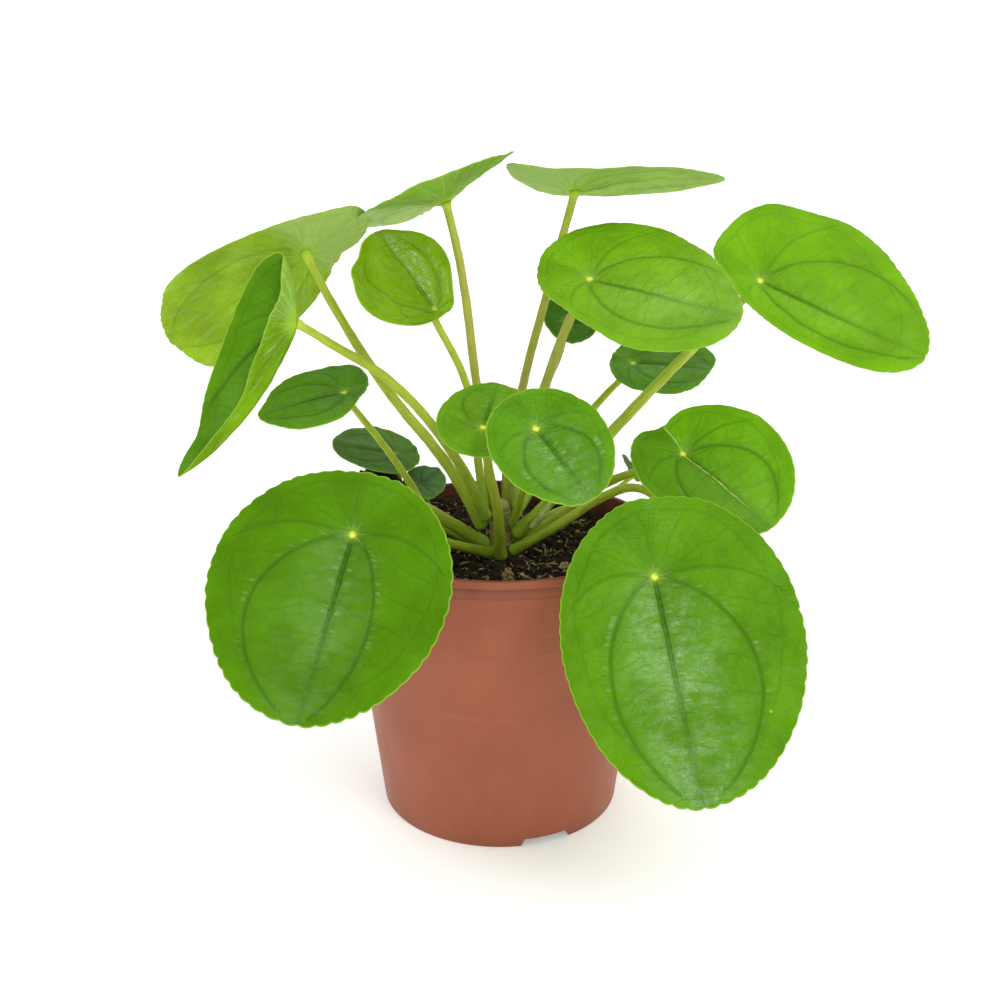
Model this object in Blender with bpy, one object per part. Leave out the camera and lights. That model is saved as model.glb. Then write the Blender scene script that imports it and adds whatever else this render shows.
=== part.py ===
"""A young pilea (Chinese money plant) in a 12 cm plastic nursery pot.

The pot stands on the ground plane with its axis on Z. Round leaf blades are carried by long stalks
that spread from a short woody stem, and the stem is planted in the soil that fills the pot.
Sizes and places below are in millimetres and degrees; MM turns millimetres into metres.
"""
import math
from typing import NamedTuple

import bmesh
import bpy
from mathutils import Matrix, Vector, noise

MM = 0.001
GAP = 0.3             # clearance left between two pieces that touch
SHARP_ANGLE = 35      # edges that turn by more than this stay crisp

# Pot
POT_HEIGHT = 112.3
RIM_RADIUS = 60.0
FOOT_RADIUS = 46.8
WALL = 1.3
LIP_DEPTH = 2.8
BEAD_LEVEL = 105.5    # a fine line a little below the lip
SHOULDER_LEVEL = 82.8
SHOULDER_RADIUS = 57.0
SHOULDER_STEP = 0.7
FLOOR_LEVEL = 5.0     # upper side of the raised floor
FLOOR_THICKNESS = 1.6
FOOT_RING_WIDTH = 2.6
PAD_RADIUS = 14.0     # flat pad in the middle of the floor, level with the foot ring
NOTCH_HEIGHT = 3.2
NOTCH_WIDTH = 20.0
NOTCH_HEADINGS = (-68, 52, 172)
DRAIN_RADIUS = 3.5
DRAIN_CIRCLE = 29.0
DRAIN_COUNT = 6
POT_SIDES = 60

# Soil
SOIL_LEVEL = 98.5
BACK_SLOPE = 0.10     # rise of the soil towards the back
MOUND = (-34, 32)     # where it heaps up, and how high and how wide
MOUND_RISE = 6.0
MOUND_SPREAD = 17.0
LUMP = 1.0
LUMP_SIZE = 14.0
SOIL_SIDES = 36
SOIL_RINGS = 8

# Stem
STEM_FOOT = 84.0
STEM_TOP = 120.0
STEM_PLACE = (0, 4)   # its upright axis stands a little behind the pot's
STEM_RADIUS = 5.2
STEM_TOP_RADIUS = 3.8
SCAR_SPACING = 5.0
SCAR_HEIGHT = 0.5
STEM_SIDES = 20

# Leaves
BLADE_THICKNESS = 1.0
BLADE_SIDES = 20
BLADE_RINGS = 4
EGG = 0.06            # how much broader a blade is behind its middle than in front
STALK_SIDES = 8
STALK_STEPS = 4       # curve steps between two points of a stalk's route

FRESH = (0.17, 0.42, 0.02)
BRIGHT = (0.24, 0.52, 0.04)
DEEP = (0.08, 0.24, 0.03)
SHADED = (0.06, 0.18, 0.05)


class Leaf(NamedTuple):
    """A leaf, told from the point where its stalk meets its blade.

    The midrib sets off along `heading` (from +X towards +Y) and dips by `droop`; `roll` lifts the
    half on its left. Each half is folded up by `fold` at the midrib and gains `cup` by its margin,
    and the midrib rises by `curl` towards the tip and by `lift` towards the back.
    """

    name: str
    colour: tuple
    attach: tuple
    heading: float
    droop: float
    roll: float
    reach: float          # from the stalk to the tip
    back: float           # from the stalk to the margin behind it
    halves: tuple         # width of the left half and of the right half
    route: tuple          # points that the stalk passes between the stem and the blade
    seat: tuple           # heading and height on the stem, or the place in the soil if rooted
    radii: tuple = (2.6, 1.7)
    funnel: float = 2.0   # how far the blade dips to its stalk
    fold: tuple = (2, 2)
    cup: tuple = (0, 0)
    curl: float = 0
    lift: float = 0
    rooted: bool = False  # an offshoot, with its stalk in the soil


LEAVES = (
    Leaf("far_left", FRESH, attach=(-73, 24, 212), heading=172, droop=32, roll=43,
         reach=66, back=19, halves=(23, 52), funnel=3, fold=(0, 0), cup=(-20, -10), curl=-8, lift=-4,
         seat=(176, 111), route=((-20, 7, 134), (-43, 14, 162), (-64, 22, 194)), radii=(3.0, 1.8)),
    Leaf("folded_left", BRIGHT, attach=(-70, -28, 195), heading=-136, droop=67, roll=24,
         reach=70, back=27, halves=(19, 22), fold=(60, 56), cup=(6, 6), curl=40, lift=50,
         seat=(-142, 116), route=((-16, -6, 140), (-39, -13, 171), (-60, -24, 188)),
         radii=(2.5, 1.7)),
    Leaf("top_left", FRESH, attach=(-20, 16, 232), heading=112, droop=12, roll=-18,
         reach=46, back=26, halves=(34, 34), funnel=4, cup=(12, 12), curl=-10, lift=26,
         seat=(120, 118), route=((-5, 12, 136), (-9, 13, 165), (-15, 15, 211)), radii=(2.1, 1.7)),
    Leaf("top_right", FRESH, attach=(28, 34, 235), heading=14, droop=-4, roll=-16,
         reach=58, back=33, halves=(28, 28), funnel=4, cup=(-8, -10), curl=-8, lift=28,
         seat=(66, 118), route=((3, 13, 136), (9, 21, 163), (19, 30, 200)), radii=(2.1, 1.7)),
    Leaf("small_upper", BRIGHT, attach=(-24, 1, 195), heading=160, droop=-45, roll=-20,
         reach=37, back=8, halves=(28, 17), fold=(8, 8), cup=(20, 20), curl=15,
         seat=(178, 119), route=((-8, 5, 133), (-12, 6, 164)), radii=(1.9, 1.5)),
    Leaf("upper_right", BRIGHT, attach=(33, 8, 205), heading=-26, droop=15, roll=26,
         reach=57, back=20, halves=(36, 36), funnel=3, fold=(0, 0), cup=(-8, -8), curl=10, lift=-4,
         seat=(5, 118), route=((8, 7, 134), (17, 11, 164), (27, 10, 192)), radii=(2.5, 1.7)),
    Leaf("far_right", BRIGHT, attach=(98, 19, 203), heading=-26, droop=27, roll=30,
         reach=65, back=22, halves=(51, 32), funnel=3, cup=(-8, -8), curl=12,
         seat=(-3, 108), route=((18, 2, 120), (43, 4, 149), (72, 9, 179)), radii=(2.9, 1.8)),
    Leaf("right", FRESH, attach=(67, -13, 144), heading=-44, droop=29, roll=18,
         reach=44, back=16, halves=(31, 30), funnel=3, fold=(10, 10), cup=(4, 4),
         seat=(26, 102), route=((27, 8, 116), (41, 4, 128), (53, -3, 135)), radii=(2.2, 1.6)),
    Leaf("front_right", FRESH, attach=(52, -62, 115), heading=-76, droop=55, roll=4,
         reach=78, back=30, halves=(46, 37), funnel=3, fold=(4, 4), cup=(-6, -6), curl=8, lift=-8,
         seat=(-40, 102), route=((23, -6, 115), (37, -10, 126), (50, -22, 134), (57, -42, 130)),
         radii=(3.0, 2.0)),
    Leaf("front_left", FRESH, attach=(-49, -62, 130), heading=-111, droop=54, roll=-10,
         reach=65, back=23, halves=(38, 44), funnel=3, fold=(4, 4), cup=(-6, -6), curl=8, lift=-6,
         seat=(-166, 104), route=((-24, -10, 120), (-34, -20, 129), (-44, -36, 138)),
         radii=(2.8, 1.9)),
    Leaf("front_centre", FRESH, attach=(12, -45, 162), heading=-44, droop=41, roll=19,
         reach=32, back=14, halves=(22, 22), cup=(4, 4),
         seat=(-40, 113), route=((8, -8, 126), (11, -25, 145)), radii=(2.0, 1.5)),
    Leaf("centre_left", DEEP, attach=(-6, -25, 157), heading=69, droop=-36, roll=5,
         reach=20, back=14, halves=(17, 17), cup=(4, 4),
         seat=(-88, 101), route=((-1, -13, 123), (-4, -18, 140)), radii=(2.4, 1.5)),
    Leaf("mid_left", DEEP, attach=(-58, 0, 164), heading=-152, droop=11, roll=-11,
         reach=32, back=13, halves=(21, 22),
         seat=(148, 102), route=((-16, 8, 105), (-26, 9, 112), (-36, 12, 127), (-45, 9, 142)),
         radii=(1.9, 1.4)),
    Leaf("behind_right", SHADED, attach=(54, 45, 166), heading=-15, droop=5, roll=20,
         reach=32, back=12, halves=(21, 21),
         seat=(38, 112), route=((18, 20, 129), (41, 38, 153)), radii=(2.0, 1.4)),
    Leaf("behind_centre", SHADED, attach=(27, 50, 182), heading=20, droop=5, roll=50,
         reach=16, back=10, halves=(13, 13), funnel=1,
         seat=(68, 108), route=((16, 30, 155), (25, 44, 173)), radii=(1.7, 1.2)),
    Leaf("bud", SHADED, attach=(55, 34, 122), heading=140, droop=-50, roll=60,
         reach=10, back=3, halves=(4, 4), funnel=0.5,
         seat=(60, 104), route=((24, 20, 112), (41, 29, 114)), radii=(1.4, 0.9)),
    Leaf("pup", SHADED, attach=(-43, 38, 130), heading=-165, droop=-10, roll=-20,
         reach=26, back=10, halves=(16, 16), funnel=1,
         seat=(-40, 33), rooted=True, route=((-41, 35, 115), (-42, 37, 124)), radii=(1.6, 1.2)),
    Leaf("small_pup", SHADED, attach=(-32, 34, 118), heading=40, droop=-20, roll=30,
         reach=9, back=6, halves=(7, 7), funnel=0.5,
         seat=(-29, 30), rooted=True, route=((-30, 32, 112),), radii=(1.2, 0.9)),
)
BARE_STALK_SEAT = (-128, 101)
BARE_STALK_ROUTE = ((-10, -7, 105), (-18, -15, 110), (-27, -23, 116), (-38, -34, 121))
BARE_STALK_RADII = (2.2, 1.7)
STIPULE_ROUTE = ((11, -3, 111), (16, -4, 118), (21, -5, 125))
STIPULE_RADII = (1.0, 1.9, 0.3)

# Loose pieces on the soil: place, size along and across and up, and turn about Z
BARK_CHIPS = (
    ((3, -27), (4.0, 3.0, 6.0), 20),
    ((24, -12), (6.0, 3.5, 2.5), 70),
    ((-22, 16), (5.0, 4.0, 3.0), 140),
)
CLUMP_PLACE = (-49, 28, 116.7)
CLUMP_SIZE = (28, 15, 9)
CLUMP_TURN = 160


def cleared_scene():
    for thing in list(bpy.data.objects):
        bpy.data.objects.remove(thing, do_unlink=True)


def principled(name, colour, roughness):
    material = bpy.data.materials.new(name)
    material.use_nodes = True
    material.diffuse_color = (*colour, 1.0)
    shader = material.node_tree.nodes["Principled BSDF"]
    shader.inputs["Base Color"].default_value = (*colour, 1.0)
    shader.inputs["Roughness"].default_value = roughness
    shader.inputs["Metallic"].default_value = 0.0
    return material


def added(name, data, material, frame=Matrix.Identity(4)):
    """Puts an object in the scene, with its material and its place."""
    data.materials.append(material)
    thing = bpy.data.objects.new(name, data)
    thing.matrix_world = frame
    bpy.context.scene.collection.objects.link(thing)
    return thing


def mesh_of(name, bm, outward=True):
    """Turns a bmesh into a mesh, shaded smooth except at its sharp edges."""
    if outward:
        bmesh.ops.recalc_face_normals(bm, faces=bm.faces)
    mesh = bpy.data.meshes.new(name)
    bm.to_mesh(mesh)
    bm.free()
    mesh.shade_smooth()
    mesh.set_sharp_from_angle(angle=math.radians(SHARP_ANGLE))
    return mesh


def polar(radius, heading, height):
    """A point in metres, from a radius, a compass heading and a height in millimetres."""
    turn = math.radians(heading)
    return Vector((radius * math.cos(turn), radius * math.sin(turn), height)) * MM


def turned(profile, sides):
    """Spins an open profile of (radius, height) points, whose ends lie on the axis, round Z."""
    bm = bmesh.new()
    corners = [bm.verts.new((radius * MM, 0, height * MM)) for radius, height in profile]
    edges = [bm.edges.new(pair) for pair in zip(corners, corners[1:])]
    bmesh.ops.spin(bm, geom=corners + edges, cent=(0, 0, 0), axis=(0, 0, 1),
                   angle=math.tau, steps=sides, use_merge=True)
    bmesh.ops.remove_doubles(bm, verts=bm.verts, dist=MM / 1000)
    return bm


def cut(target, cutter):
    """Cuts one object out of another, and keeps the cutter out of the model."""
    cutter.hide_render = True
    cutter.display_type = "WIRE"
    boolean = target.modifiers.new(f"cut_{cutter.name}", "BOOLEAN")
    boolean.operation = "DIFFERENCE"
    boolean.object = cutter


def wall_radius(height):
    """Outer radius of the pot's plain wall."""
    if height < SHOULDER_LEVEL:
        share = height / SHOULDER_LEVEL
        return FOOT_RADIUS + (SHOULDER_RADIUS - FOOT_RADIUS) * share
    share = (height - SHOULDER_LEVEL) / (POT_HEIGHT - SHOULDER_LEVEL)
    low = SHOULDER_RADIUS + SHOULDER_STEP
    return low + (RIM_RADIUS - 0.5 - low) * share


def pot_profile():
    lip = POT_HEIGHT - LIP_DEPTH
    inner_rim = RIM_RADIUS - WALL - 0.6
    inner_foot = wall_radius(FLOOR_LEVEL) - WALL
    under = FLOOR_LEVEL - FLOOR_THICKNESS
    ring = FOOT_RADIUS - FOOT_RING_WIDTH
    return (
        (0, FLOOR_LEVEL),
        (inner_foot - 1.5, FLOOR_LEVEL),
        (inner_foot, FLOOR_LEVEL + 1.5),
        (wall_radius(SHOULDER_LEVEL - 2) - WALL, SHOULDER_LEVEL - 2),
        (SHOULDER_RADIUS + SHOULDER_STEP - WALL, SHOULDER_LEVEL + 1),
        (inner_rim, POT_HEIGHT - 0.5),
        (inner_rim + 0.5, POT_HEIGHT),
        (RIM_RADIUS - 0.5, POT_HEIGHT),
        (RIM_RADIUS, POT_HEIGHT - 0.6),
        (RIM_RADIUS, lip + 0.5),
        (wall_radius(lip), lip),
        (wall_radius(BEAD_LEVEL), BEAD_LEVEL + 0.4),
        (wall_radius(BEAD_LEVEL) - 0.3, BEAD_LEVEL),
        (wall_radius(BEAD_LEVEL), BEAD_LEVEL - 0.4),
        (SHOULDER_RADIUS + SHOULDER_STEP, SHOULDER_LEVEL + 0.5),
        (SHOULDER_RADIUS, SHOULDER_LEVEL),
        (FOOT_RADIUS + 0.4, 1.0),
        (FOOT_RADIUS - 0.4, 0),
        (ring, 0),
        (ring - 0.4, under),
        (PAD_RADIUS + 1.0, under),
        (PAD_RADIUS, 0),
        (0, 0),
    )


def pot():
    plastic = principled("pot_plastic", (0.30, 0.10, 0.055), 0.5)
    body = added("pot", mesh_of("pot", turned(pot_profile(), POT_SIDES)), plastic)
    for number, heading in enumerate(NOTCH_HEADINGS, 1):
        bm = bmesh.new()
        bmesh.ops.create_cube(bm, size=1)
        bmesh.ops.scale(bm, verts=bm.verts,
                        vec=Vector((4 * FOOT_RING_WIDTH, NOTCH_WIDTH, 2 * NOTCH_HEIGHT)) * MM)
        frame = Matrix.Translation(polar(FOOT_RADIUS - 1, heading, 0))
        frame = frame @ Matrix.Rotation(math.radians(heading), 4, "Z")
        name = f"notch_cutter_{number}"
        cut(body, added(name, mesh_of(name, bm), plastic, frame))
    for number in range(DRAIN_COUNT):
        bm = bmesh.new()
        bmesh.ops.create_cone(bm, cap_ends=True, segments=16, radius1=DRAIN_RADIUS * MM,
                              radius2=DRAIN_RADIUS * MM, depth=3 * FLOOR_LEVEL * MM)
        place = polar(DRAIN_CIRCLE, 360 * number / DRAIN_COUNT + 20, FLOOR_LEVEL)
        name = f"drain_cutter_{number + 1}"
        cut(body, added(name, mesh_of(name, bm), plastic, Matrix.Translation(place)))


def soil_height(x, y):
    """Level of the soil's lumpy top at a place, all in millimetres."""
    heap = math.exp(-((x - MOUND[0]) ** 2 + (y - MOUND[1]) ** 2) / (2 * MOUND_SPREAD ** 2))
    lumps = noise.noise(Vector((x, y, 0)) / LUMP_SIZE)
    return SOIL_LEVEL + BACK_SLOPE * max(y, 0) + MOUND_RISE * heap + LUMP * lumps


def soil_edge(height):
    """Radius of the soil where it lies against the pot's inner wall."""
    return wall_radius(height) - WALL - GAP - 0.6


def soil_mass():
    bm = bmesh.new()
    floor = FLOOR_LEVEL + GAP
    side_levels = (floor, 30, 55, SHOULDER_LEVEL - 4)
    radii = [soil_edge(SHOULDER_LEVEL - 4) * ring / SOIL_RINGS for ring in range(1, SOIL_RINGS + 1)]
    crown = bm.verts.new(Vector((0, 0, soil_height(0, 0))) * MM)
    base = bm.verts.new(Vector((0, 0, floor)) * MM)
    rings = []
    for ring, radius in enumerate(radii):
        row = []
        for side in range(SOIL_SIDES):
            heading = 360 * side / SOIL_SIDES
            spread = radius if ring < SOIL_RINGS - 1 else soil_edge(SOIL_LEVEL - 3)
            place = polar(spread, heading, 0) / MM
            row.append(bm.verts.new(polar(spread, heading, soil_height(place.x, place.y))))
        rings.append(row)
    for level in reversed(side_levels):
        edge = soil_edge(level) - (1.6 if level == floor else 0)
        rings.append([bm.verts.new(polar(edge, 360 * side / SOIL_SIDES, level))
                      for side in range(SOIL_SIDES)])
    for side in range(SOIL_SIDES):
        after = (side + 1) % SOIL_SIDES
        bm.faces.new((crown, rings[0][side], rings[0][after]))
        bm.faces.new((base, rings[-1][after], rings[-1][side]))
        for inner, outer in zip(rings, rings[1:]):
            bm.faces.new((inner[side], outer[side], outer[after], inner[after]))
    return mesh_of("potting_soil", bm)


def planting_hole(name, place, radius, depth):
    bm = bmesh.new()
    bmesh.ops.create_cone(bm, cap_ends=True, segments=STEM_SIDES, radius1=radius * MM,
                          radius2=radius * MM, depth=2 * depth * MM)
    top = soil_height(place[0], place[1])
    return name, mesh_of(name, bm), Matrix.Translation(Vector((*place, top)) * MM)


def soil():
    peat = principled("soil_peat", (0.03, 0.018, 0.012), 0.95)
    mass = added("potting_soil", soil_mass(), peat)
    depth = soil_height(*STEM_PLACE) - STEM_FOOT + GAP
    name, mesh, frame = planting_hole("stem_hole", STEM_PLACE, STEM_RADIUS + GAP + SCAR_HEIGHT, depth)
    cut(mass, added(name, mesh, peat, frame))


def stem_radius(height):
    share = (height - STEM_FOOT) / (STEM_TOP - STEM_FOOT)
    return STEM_RADIUS + (STEM_TOP_RADIUS - STEM_RADIUS) * share


def stem():
    """The short woody stem, ringed by the scars of leaves that it has shed."""
    bark = principled("stem_bark", (0.22, 0.16, 0.06), 0.75)
    profile = [(0, STEM_TOP + 1.5), (stem_radius(STEM_TOP) * 0.7, STEM_TOP + 0.9)]
    height = STEM_TOP
    while height > STEM_FOOT + SCAR_SPACING:
        profile.append((stem_radius(height), height))
        profile.append((stem_radius(height) + SCAR_HEIGHT, height - 0.7 * SCAR_SPACING))
        height -= SCAR_SPACING
    profile += [(stem_radius(height), height), (STEM_RADIUS - 1, STEM_FOOT), (0, STEM_FOOT)]
    frame = Matrix.Translation(Vector((*STEM_PLACE, 0)) * MM)
    added("main_stem", mesh_of("main_stem", turned(profile, STEM_SIDES)), bark, frame)


def leaf_frame(leaf):
    """The blade's own axes: X along the midrib, Y to its left, Z out of its upper face."""
    turn = math.radians(leaf.heading)
    dip = math.radians(leaf.droop)
    roll = math.radians(leaf.roll)
    ahead = Vector((math.cos(turn) * math.cos(dip), math.sin(turn) * math.cos(dip), -math.sin(dip)))
    level = Vector((-math.sin(turn), math.cos(turn), 0))
    up = ahead.cross(level)
    left = level * math.cos(roll) + up * math.sin(roll)
    top = ahead.cross(left)
    frame = Matrix((ahead, left, top)).transposed().to_4x4()
    frame.translation = Vector(leaf.attach) * MM
    return frame


def bent(length, start, gain, full):
    """Run and rise of a sheet that sets off at the slope `start` and gains `gain` over `full`."""
    slope = math.radians(start)
    rate = math.radians(gain) / full
    if abs(rate) < 1e-6:
        return length * math.cos(slope), length * math.sin(slope)
    end = slope + rate * length
    return (math.sin(end) - math.sin(slope)) / rate, (math.cos(slope) - math.cos(end)) / rate


def blade_point(leaf, turn, share):
    """A point of the blade: `turn` goes round the margin and `share` from the stalk out to it."""
    middle = (leaf.reach - leaf.back) / 2
    x = share * (middle + (leaf.reach + leaf.back) / 2 * math.cos(turn))
    side = 0 if math.sin(turn) > 0 else 1
    half = leaf.halves[side]
    y = share * half * math.sin(turn) * (1 - EGG * math.cos(turn))
    across, rise = bent(abs(y), leaf.fold[side], leaf.cup[side], half)
    rise += leaf.funnel * (1 - math.exp(-4 * share))
    full, gain = (leaf.reach, leaf.curl) if x > 0 else (leaf.back, leaf.lift)
    along, climb = bent(abs(x), 0, gain, full)
    slope = math.radians(gain) * abs(x) / full
    ahead = math.copysign(along - rise * math.sin(slope), x)
    return Vector((ahead, math.copysign(across, y), climb + rise * math.cos(slope))) * MM


def blade(leaf, colour):
    bm = bmesh.new()
    centre = bm.verts.new((0, 0, 0))
    rings = []
    for ring in range(1, BLADE_RINGS + 1):
        share = (ring / BLADE_RINGS) ** 0.8
        turns = [math.tau * side / BLADE_SIDES for side in range(BLADE_SIDES)]
        rings.append([bm.verts.new(blade_point(leaf, turn, share)) for turn in turns])
    for side in range(BLADE_SIDES):
        after = (side + 1) % BLADE_SIDES
        bm.faces.new((centre, rings[0][side], rings[0][after]))
        for inner, outer in zip(rings, rings[1:]):
            bm.faces.new((inner[side], outer[side], outer[after], inner[after]))
    name = f"leaf_blade_{leaf.name}"
    sheet = added(name, mesh_of(name, bm, outward=False), colour, leaf_frame(leaf))
    skin = sheet.modifiers.new("thickness", "SOLIDIFY")
    skin.thickness = BLADE_THICKNESS * MM
    skin.offset = 0
    skin.use_even_offset = True


def tube(name, points, radii, colour):
    """A round stalk through points in millimetres, tapering from the first radius to the last."""
    curve = bpy.data.curves.new(name, "CURVE")
    curve.dimensions = "3D"
    curve.bevel_depth = MM
    curve.bevel_resolution = (STALK_SIDES - 4) // 2
    curve.resolution_u = STALK_STEPS
    curve.use_fill_caps = True
    spline = curve.splines.new("BEZIER")
    spline.bezier_points.add(len(points) - 1)
    for i, (knot, place) in enumerate(zip(spline.bezier_points, points)):
        share = i / (len(points) - 1)
        knot.co = Vector(place) * MM
        knot.radius = radii[0] + (radii[1] - radii[0]) * share
        knot.handle_left_type = "AUTO"
        knot.handle_right_type = "AUTO"
    return added(name, curve, colour)


def seated_base(seat, toward, radius):
    """Middle of a stalk's end face, where the face's upper edge just clears the stem."""
    heading, height = seat
    turn = math.radians(heading)
    out = Vector((math.cos(turn), math.sin(turn), 0))
    axis = Vector((*STEM_PLACE, height))
    climb = (Vector(toward) - axis).normalized().z
    return axis + out * (stem_radius(height) + SCAR_HEIGHT + GAP + radius * climb)


def rooted_base(place, radius):
    """Middle of the end face of a stalk that stands on the soil."""
    return Vector((*place, soil_height(*place) + GAP + radius / 2))


def stalk(leaf, colour):
    if leaf.rooted:
        base = rooted_base(leaf.seat, leaf.radii[0])
    else:
        base = seated_base(leaf.seat, leaf.route[0], leaf.radii[0])
    top = leaf_frame(leaf).to_3x3().col[2]
    arrival = (Vector(leaf.attach) - Vector(leaf.route[-1])).normalized()
    tilt = math.sqrt(max(0, 1 - arrival.dot(top) ** 2))
    depth = BLADE_THICKNESS / 2 + GAP + leaf.radii[1] * tilt
    end = Vector(leaf.attach) - top * depth
    tube(f"leaf_stalk_{leaf.name}", (base, *leaf.route, end), leaf.radii, colour)


def bare_stalk():
    """A stalk that has shed its blade."""
    colour = principled("bare_stalk", (0.28, 0.34, 0.05), 0.45)
    base = seated_base(BARE_STALK_SEAT, BARE_STALK_ROUTE[0], BARE_STALK_RADII[0])
    tube("bare_leaf_stalk", (base, *BARE_STALK_ROUTE), BARE_STALK_RADII, colour)


def stipule():
    """The pointed sheath of a new leaf, between two stalks."""
    sheath = tube("stipule", STIPULE_ROUTE, STIPULE_RADII[::2],
                  principled("stipule", (0.42, 0.50, 0.18), 0.5))
    for knot, radius in zip(sheath.data.splines[0].bezier_points, STIPULE_RADII):
        knot.radius = radius


def rough_lump(name, size, turn, seed, colour):
    """A rough piece of peat or bark around the origin, whose faces are pushed in and out."""
    bm = bmesh.new()
    bmesh.ops.create_icosphere(bm, subdivisions=2, radius=0.5)
    spin = Matrix.Rotation(math.radians(turn), 3, "Z")
    for vert in bm.verts:
        push = 1 + 0.35 * noise.noise(vert.co * 3 + Vector((seed, 0, 0)))
        vert.co = spin @ Vector(a * b * push for a, b in zip(vert.co, size)) * MM
    return added(name, mesh_of(name, bm, outward=False), colour)


def bark_chips():
    for number, (place, size, turn) in enumerate(BARK_CHIPS, 1):
        colour = principled(f"bark_{number}", (0.33, 0.20, 0.09), 0.9)
        chip = rough_lump(f"bark_chip_{number}", size, turn, number * 7, colour)
        points = [vert.co / MM for vert in chip.data.vertices]
        lift = max(soil_height(p.x + place[0], p.y + place[1]) - p.z for p in points)
        chip.location = Vector((*place, lift + 2 * GAP)) * MM


def peat_clump():
    colour = principled("clump_peat", (0.035, 0.018, 0.012), 0.95)
    clump = rough_lump("peat_clump", CLUMP_SIZE, CLUMP_TURN, 3, colour)
    clump.location = Vector(CLUMP_PLACE) * MM


def leaves():
    for leaf in LEAVES:
        stalk(leaf, principled(f"stalk_{leaf.name}", (0.30, 0.36, 0.05), 0.45))
        blade(leaf, principled(f"blade_{leaf.name}", leaf.colour, 0.35))


cleared_scene()
pot()
soil()
stem()
leaves()
bare_stalk()
stipule()
bark_chips()
peat_clump()
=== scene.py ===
"""Looks of the potted pilea plant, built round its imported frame.

The builders work in millimetres in the row frame, and mesh_piece turns them into metres. Each leaf
blade and stalk follows the middle of its CAD solid, and gets a finer outline, veins and surface.
"""

import math
import random
from typing import NamedTuple

import bmesh
import bpy
import numpy as np
from mathutils import Matrix, Vector, noise
from mathutils.bvhtree import BVHTree


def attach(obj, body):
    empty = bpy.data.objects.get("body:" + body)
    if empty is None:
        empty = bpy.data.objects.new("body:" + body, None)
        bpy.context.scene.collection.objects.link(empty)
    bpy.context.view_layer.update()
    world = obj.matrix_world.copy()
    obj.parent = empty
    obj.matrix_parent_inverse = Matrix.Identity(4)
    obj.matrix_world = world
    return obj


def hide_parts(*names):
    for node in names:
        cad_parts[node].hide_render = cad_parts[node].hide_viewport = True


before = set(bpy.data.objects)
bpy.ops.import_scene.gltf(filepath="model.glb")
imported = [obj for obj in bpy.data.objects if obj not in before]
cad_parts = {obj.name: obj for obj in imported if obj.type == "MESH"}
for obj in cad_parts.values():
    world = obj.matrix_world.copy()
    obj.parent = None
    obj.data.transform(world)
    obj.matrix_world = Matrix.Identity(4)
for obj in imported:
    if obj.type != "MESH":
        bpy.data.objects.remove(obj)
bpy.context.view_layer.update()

MM = 0.001
TAU = math.tau


# ---------------------------------------------------------------- reading the frame

def welded(node):
    """A CAD node's points in millimetres, each once, and its triangles."""
    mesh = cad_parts[node].data
    mesh.calc_loop_triangles()
    points = np.empty(len(mesh.vertices) * 3)
    mesh.vertices.foreach_get("co", points)
    corners = np.empty(len(mesh.loop_triangles) * 3, np.int32)
    mesh.loop_triangles.foreach_get("vertices", corners)
    weld = 0.002
    cells = np.round(points.reshape(-1, 3) / MM / weld).astype(np.int64)
    cells, index = np.unique(cells, axis=0, return_inverse=True)
    return cells * weld, index.reshape(-1)[corners].reshape(-1, 3)


def neighbours(triangles):
    near = {}
    for a, b, c in triangles.tolist():
        near.setdefault(a, set()).update((b, c))
        near.setdefault(b, set()).update((a, c))
        near.setdefault(c, set()).update((a, b))
    return near


def rings(start, near):
    """The points one edge away from the start, then those two edges away, and so on."""
    found = [set(start)]
    seen = set(start)
    while True:
        after = set().union(*(near[point] for point in found[-1])) - seen
        if not after:
            return [sorted(ring) for ring in found]
        seen |= after
        found.append(after)


def unit(vector):
    return vector / np.linalg.norm(vector, axis=-1, keepdims=True)


def stalk_line(node):
    """Centres and radii of a CAD stalk's rings, from the thick end to the thin one."""
    points, triangles = welded(node)
    near = neighbours(triangles)
    one_end = rings([0], near)[-1]
    rows = [points[row] for row in rings(one_end, near)]
    centres = np.array([row.mean(axis=0) for row in rows])
    radii = np.array([np.linalg.norm(row - row.mean(axis=0), axis=1).mean() for row in rows])
    if radii[:3].mean() < radii[-3:].mean():
        centres, radii = centres[::-1], radii[::-1]
    return centres, radii


SIDES = 20                                   # corners round a CAD blade's margin
SHARES = (np.arange(5) / 4) ** 0.8           # where its rings lie between stalk and margin


def blade_rings(name, heading, stalk_end):
    """Rings of points on a CAD blade's middle surface, from its stalk out, each from the tip on."""
    points, triangles = welded(f"leaf_blade_{name}")
    near = neighbours(triangles)
    poles = np.argsort(-np.bincount(triangles.ravel()), kind="stable")[:2]
    under, upper = sorted(poles, key=lambda pole: np.linalg.norm(points[pole] - stalk_end))
    centre = (points[under] + points[upper]) / 2
    up = unit(points[upper] - points[under])
    margin = points[rings([upper], near)[4]]
    turn = math.radians(heading)
    spokes = margin - centre
    towards = unit(spokes * (1, 1, 0)) @ np.array((math.cos(turn), math.sin(turn), 0))
    tip = spokes[np.argmax(towards * np.linalg.norm(spokes, axis=1))]
    ahead = unit(tip - up * np.dot(tip, up))
    left = np.cross(up, ahead)
    faces = []
    for pole in (upper, under):
        rows = []
        for ring in rings([pole], near)[1:5]:
            row = points[ring]
            turn = np.arctan2((row - centre) @ left, (row - centre) @ ahead)
            row = row[np.argsort(turn)]
            first = np.argmin(np.abs(np.sort(turn)))
            rows.append(np.roll(row, -first, axis=0))
        faces.append(rows)
    middle = (np.array(faces[0]) + np.array(faces[1])) / 2
    return np.concatenate([np.broadcast_to(centre, (1, SIDES, 3)), middle]), up


# ---------------------------------------------------------------- meshes

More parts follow.
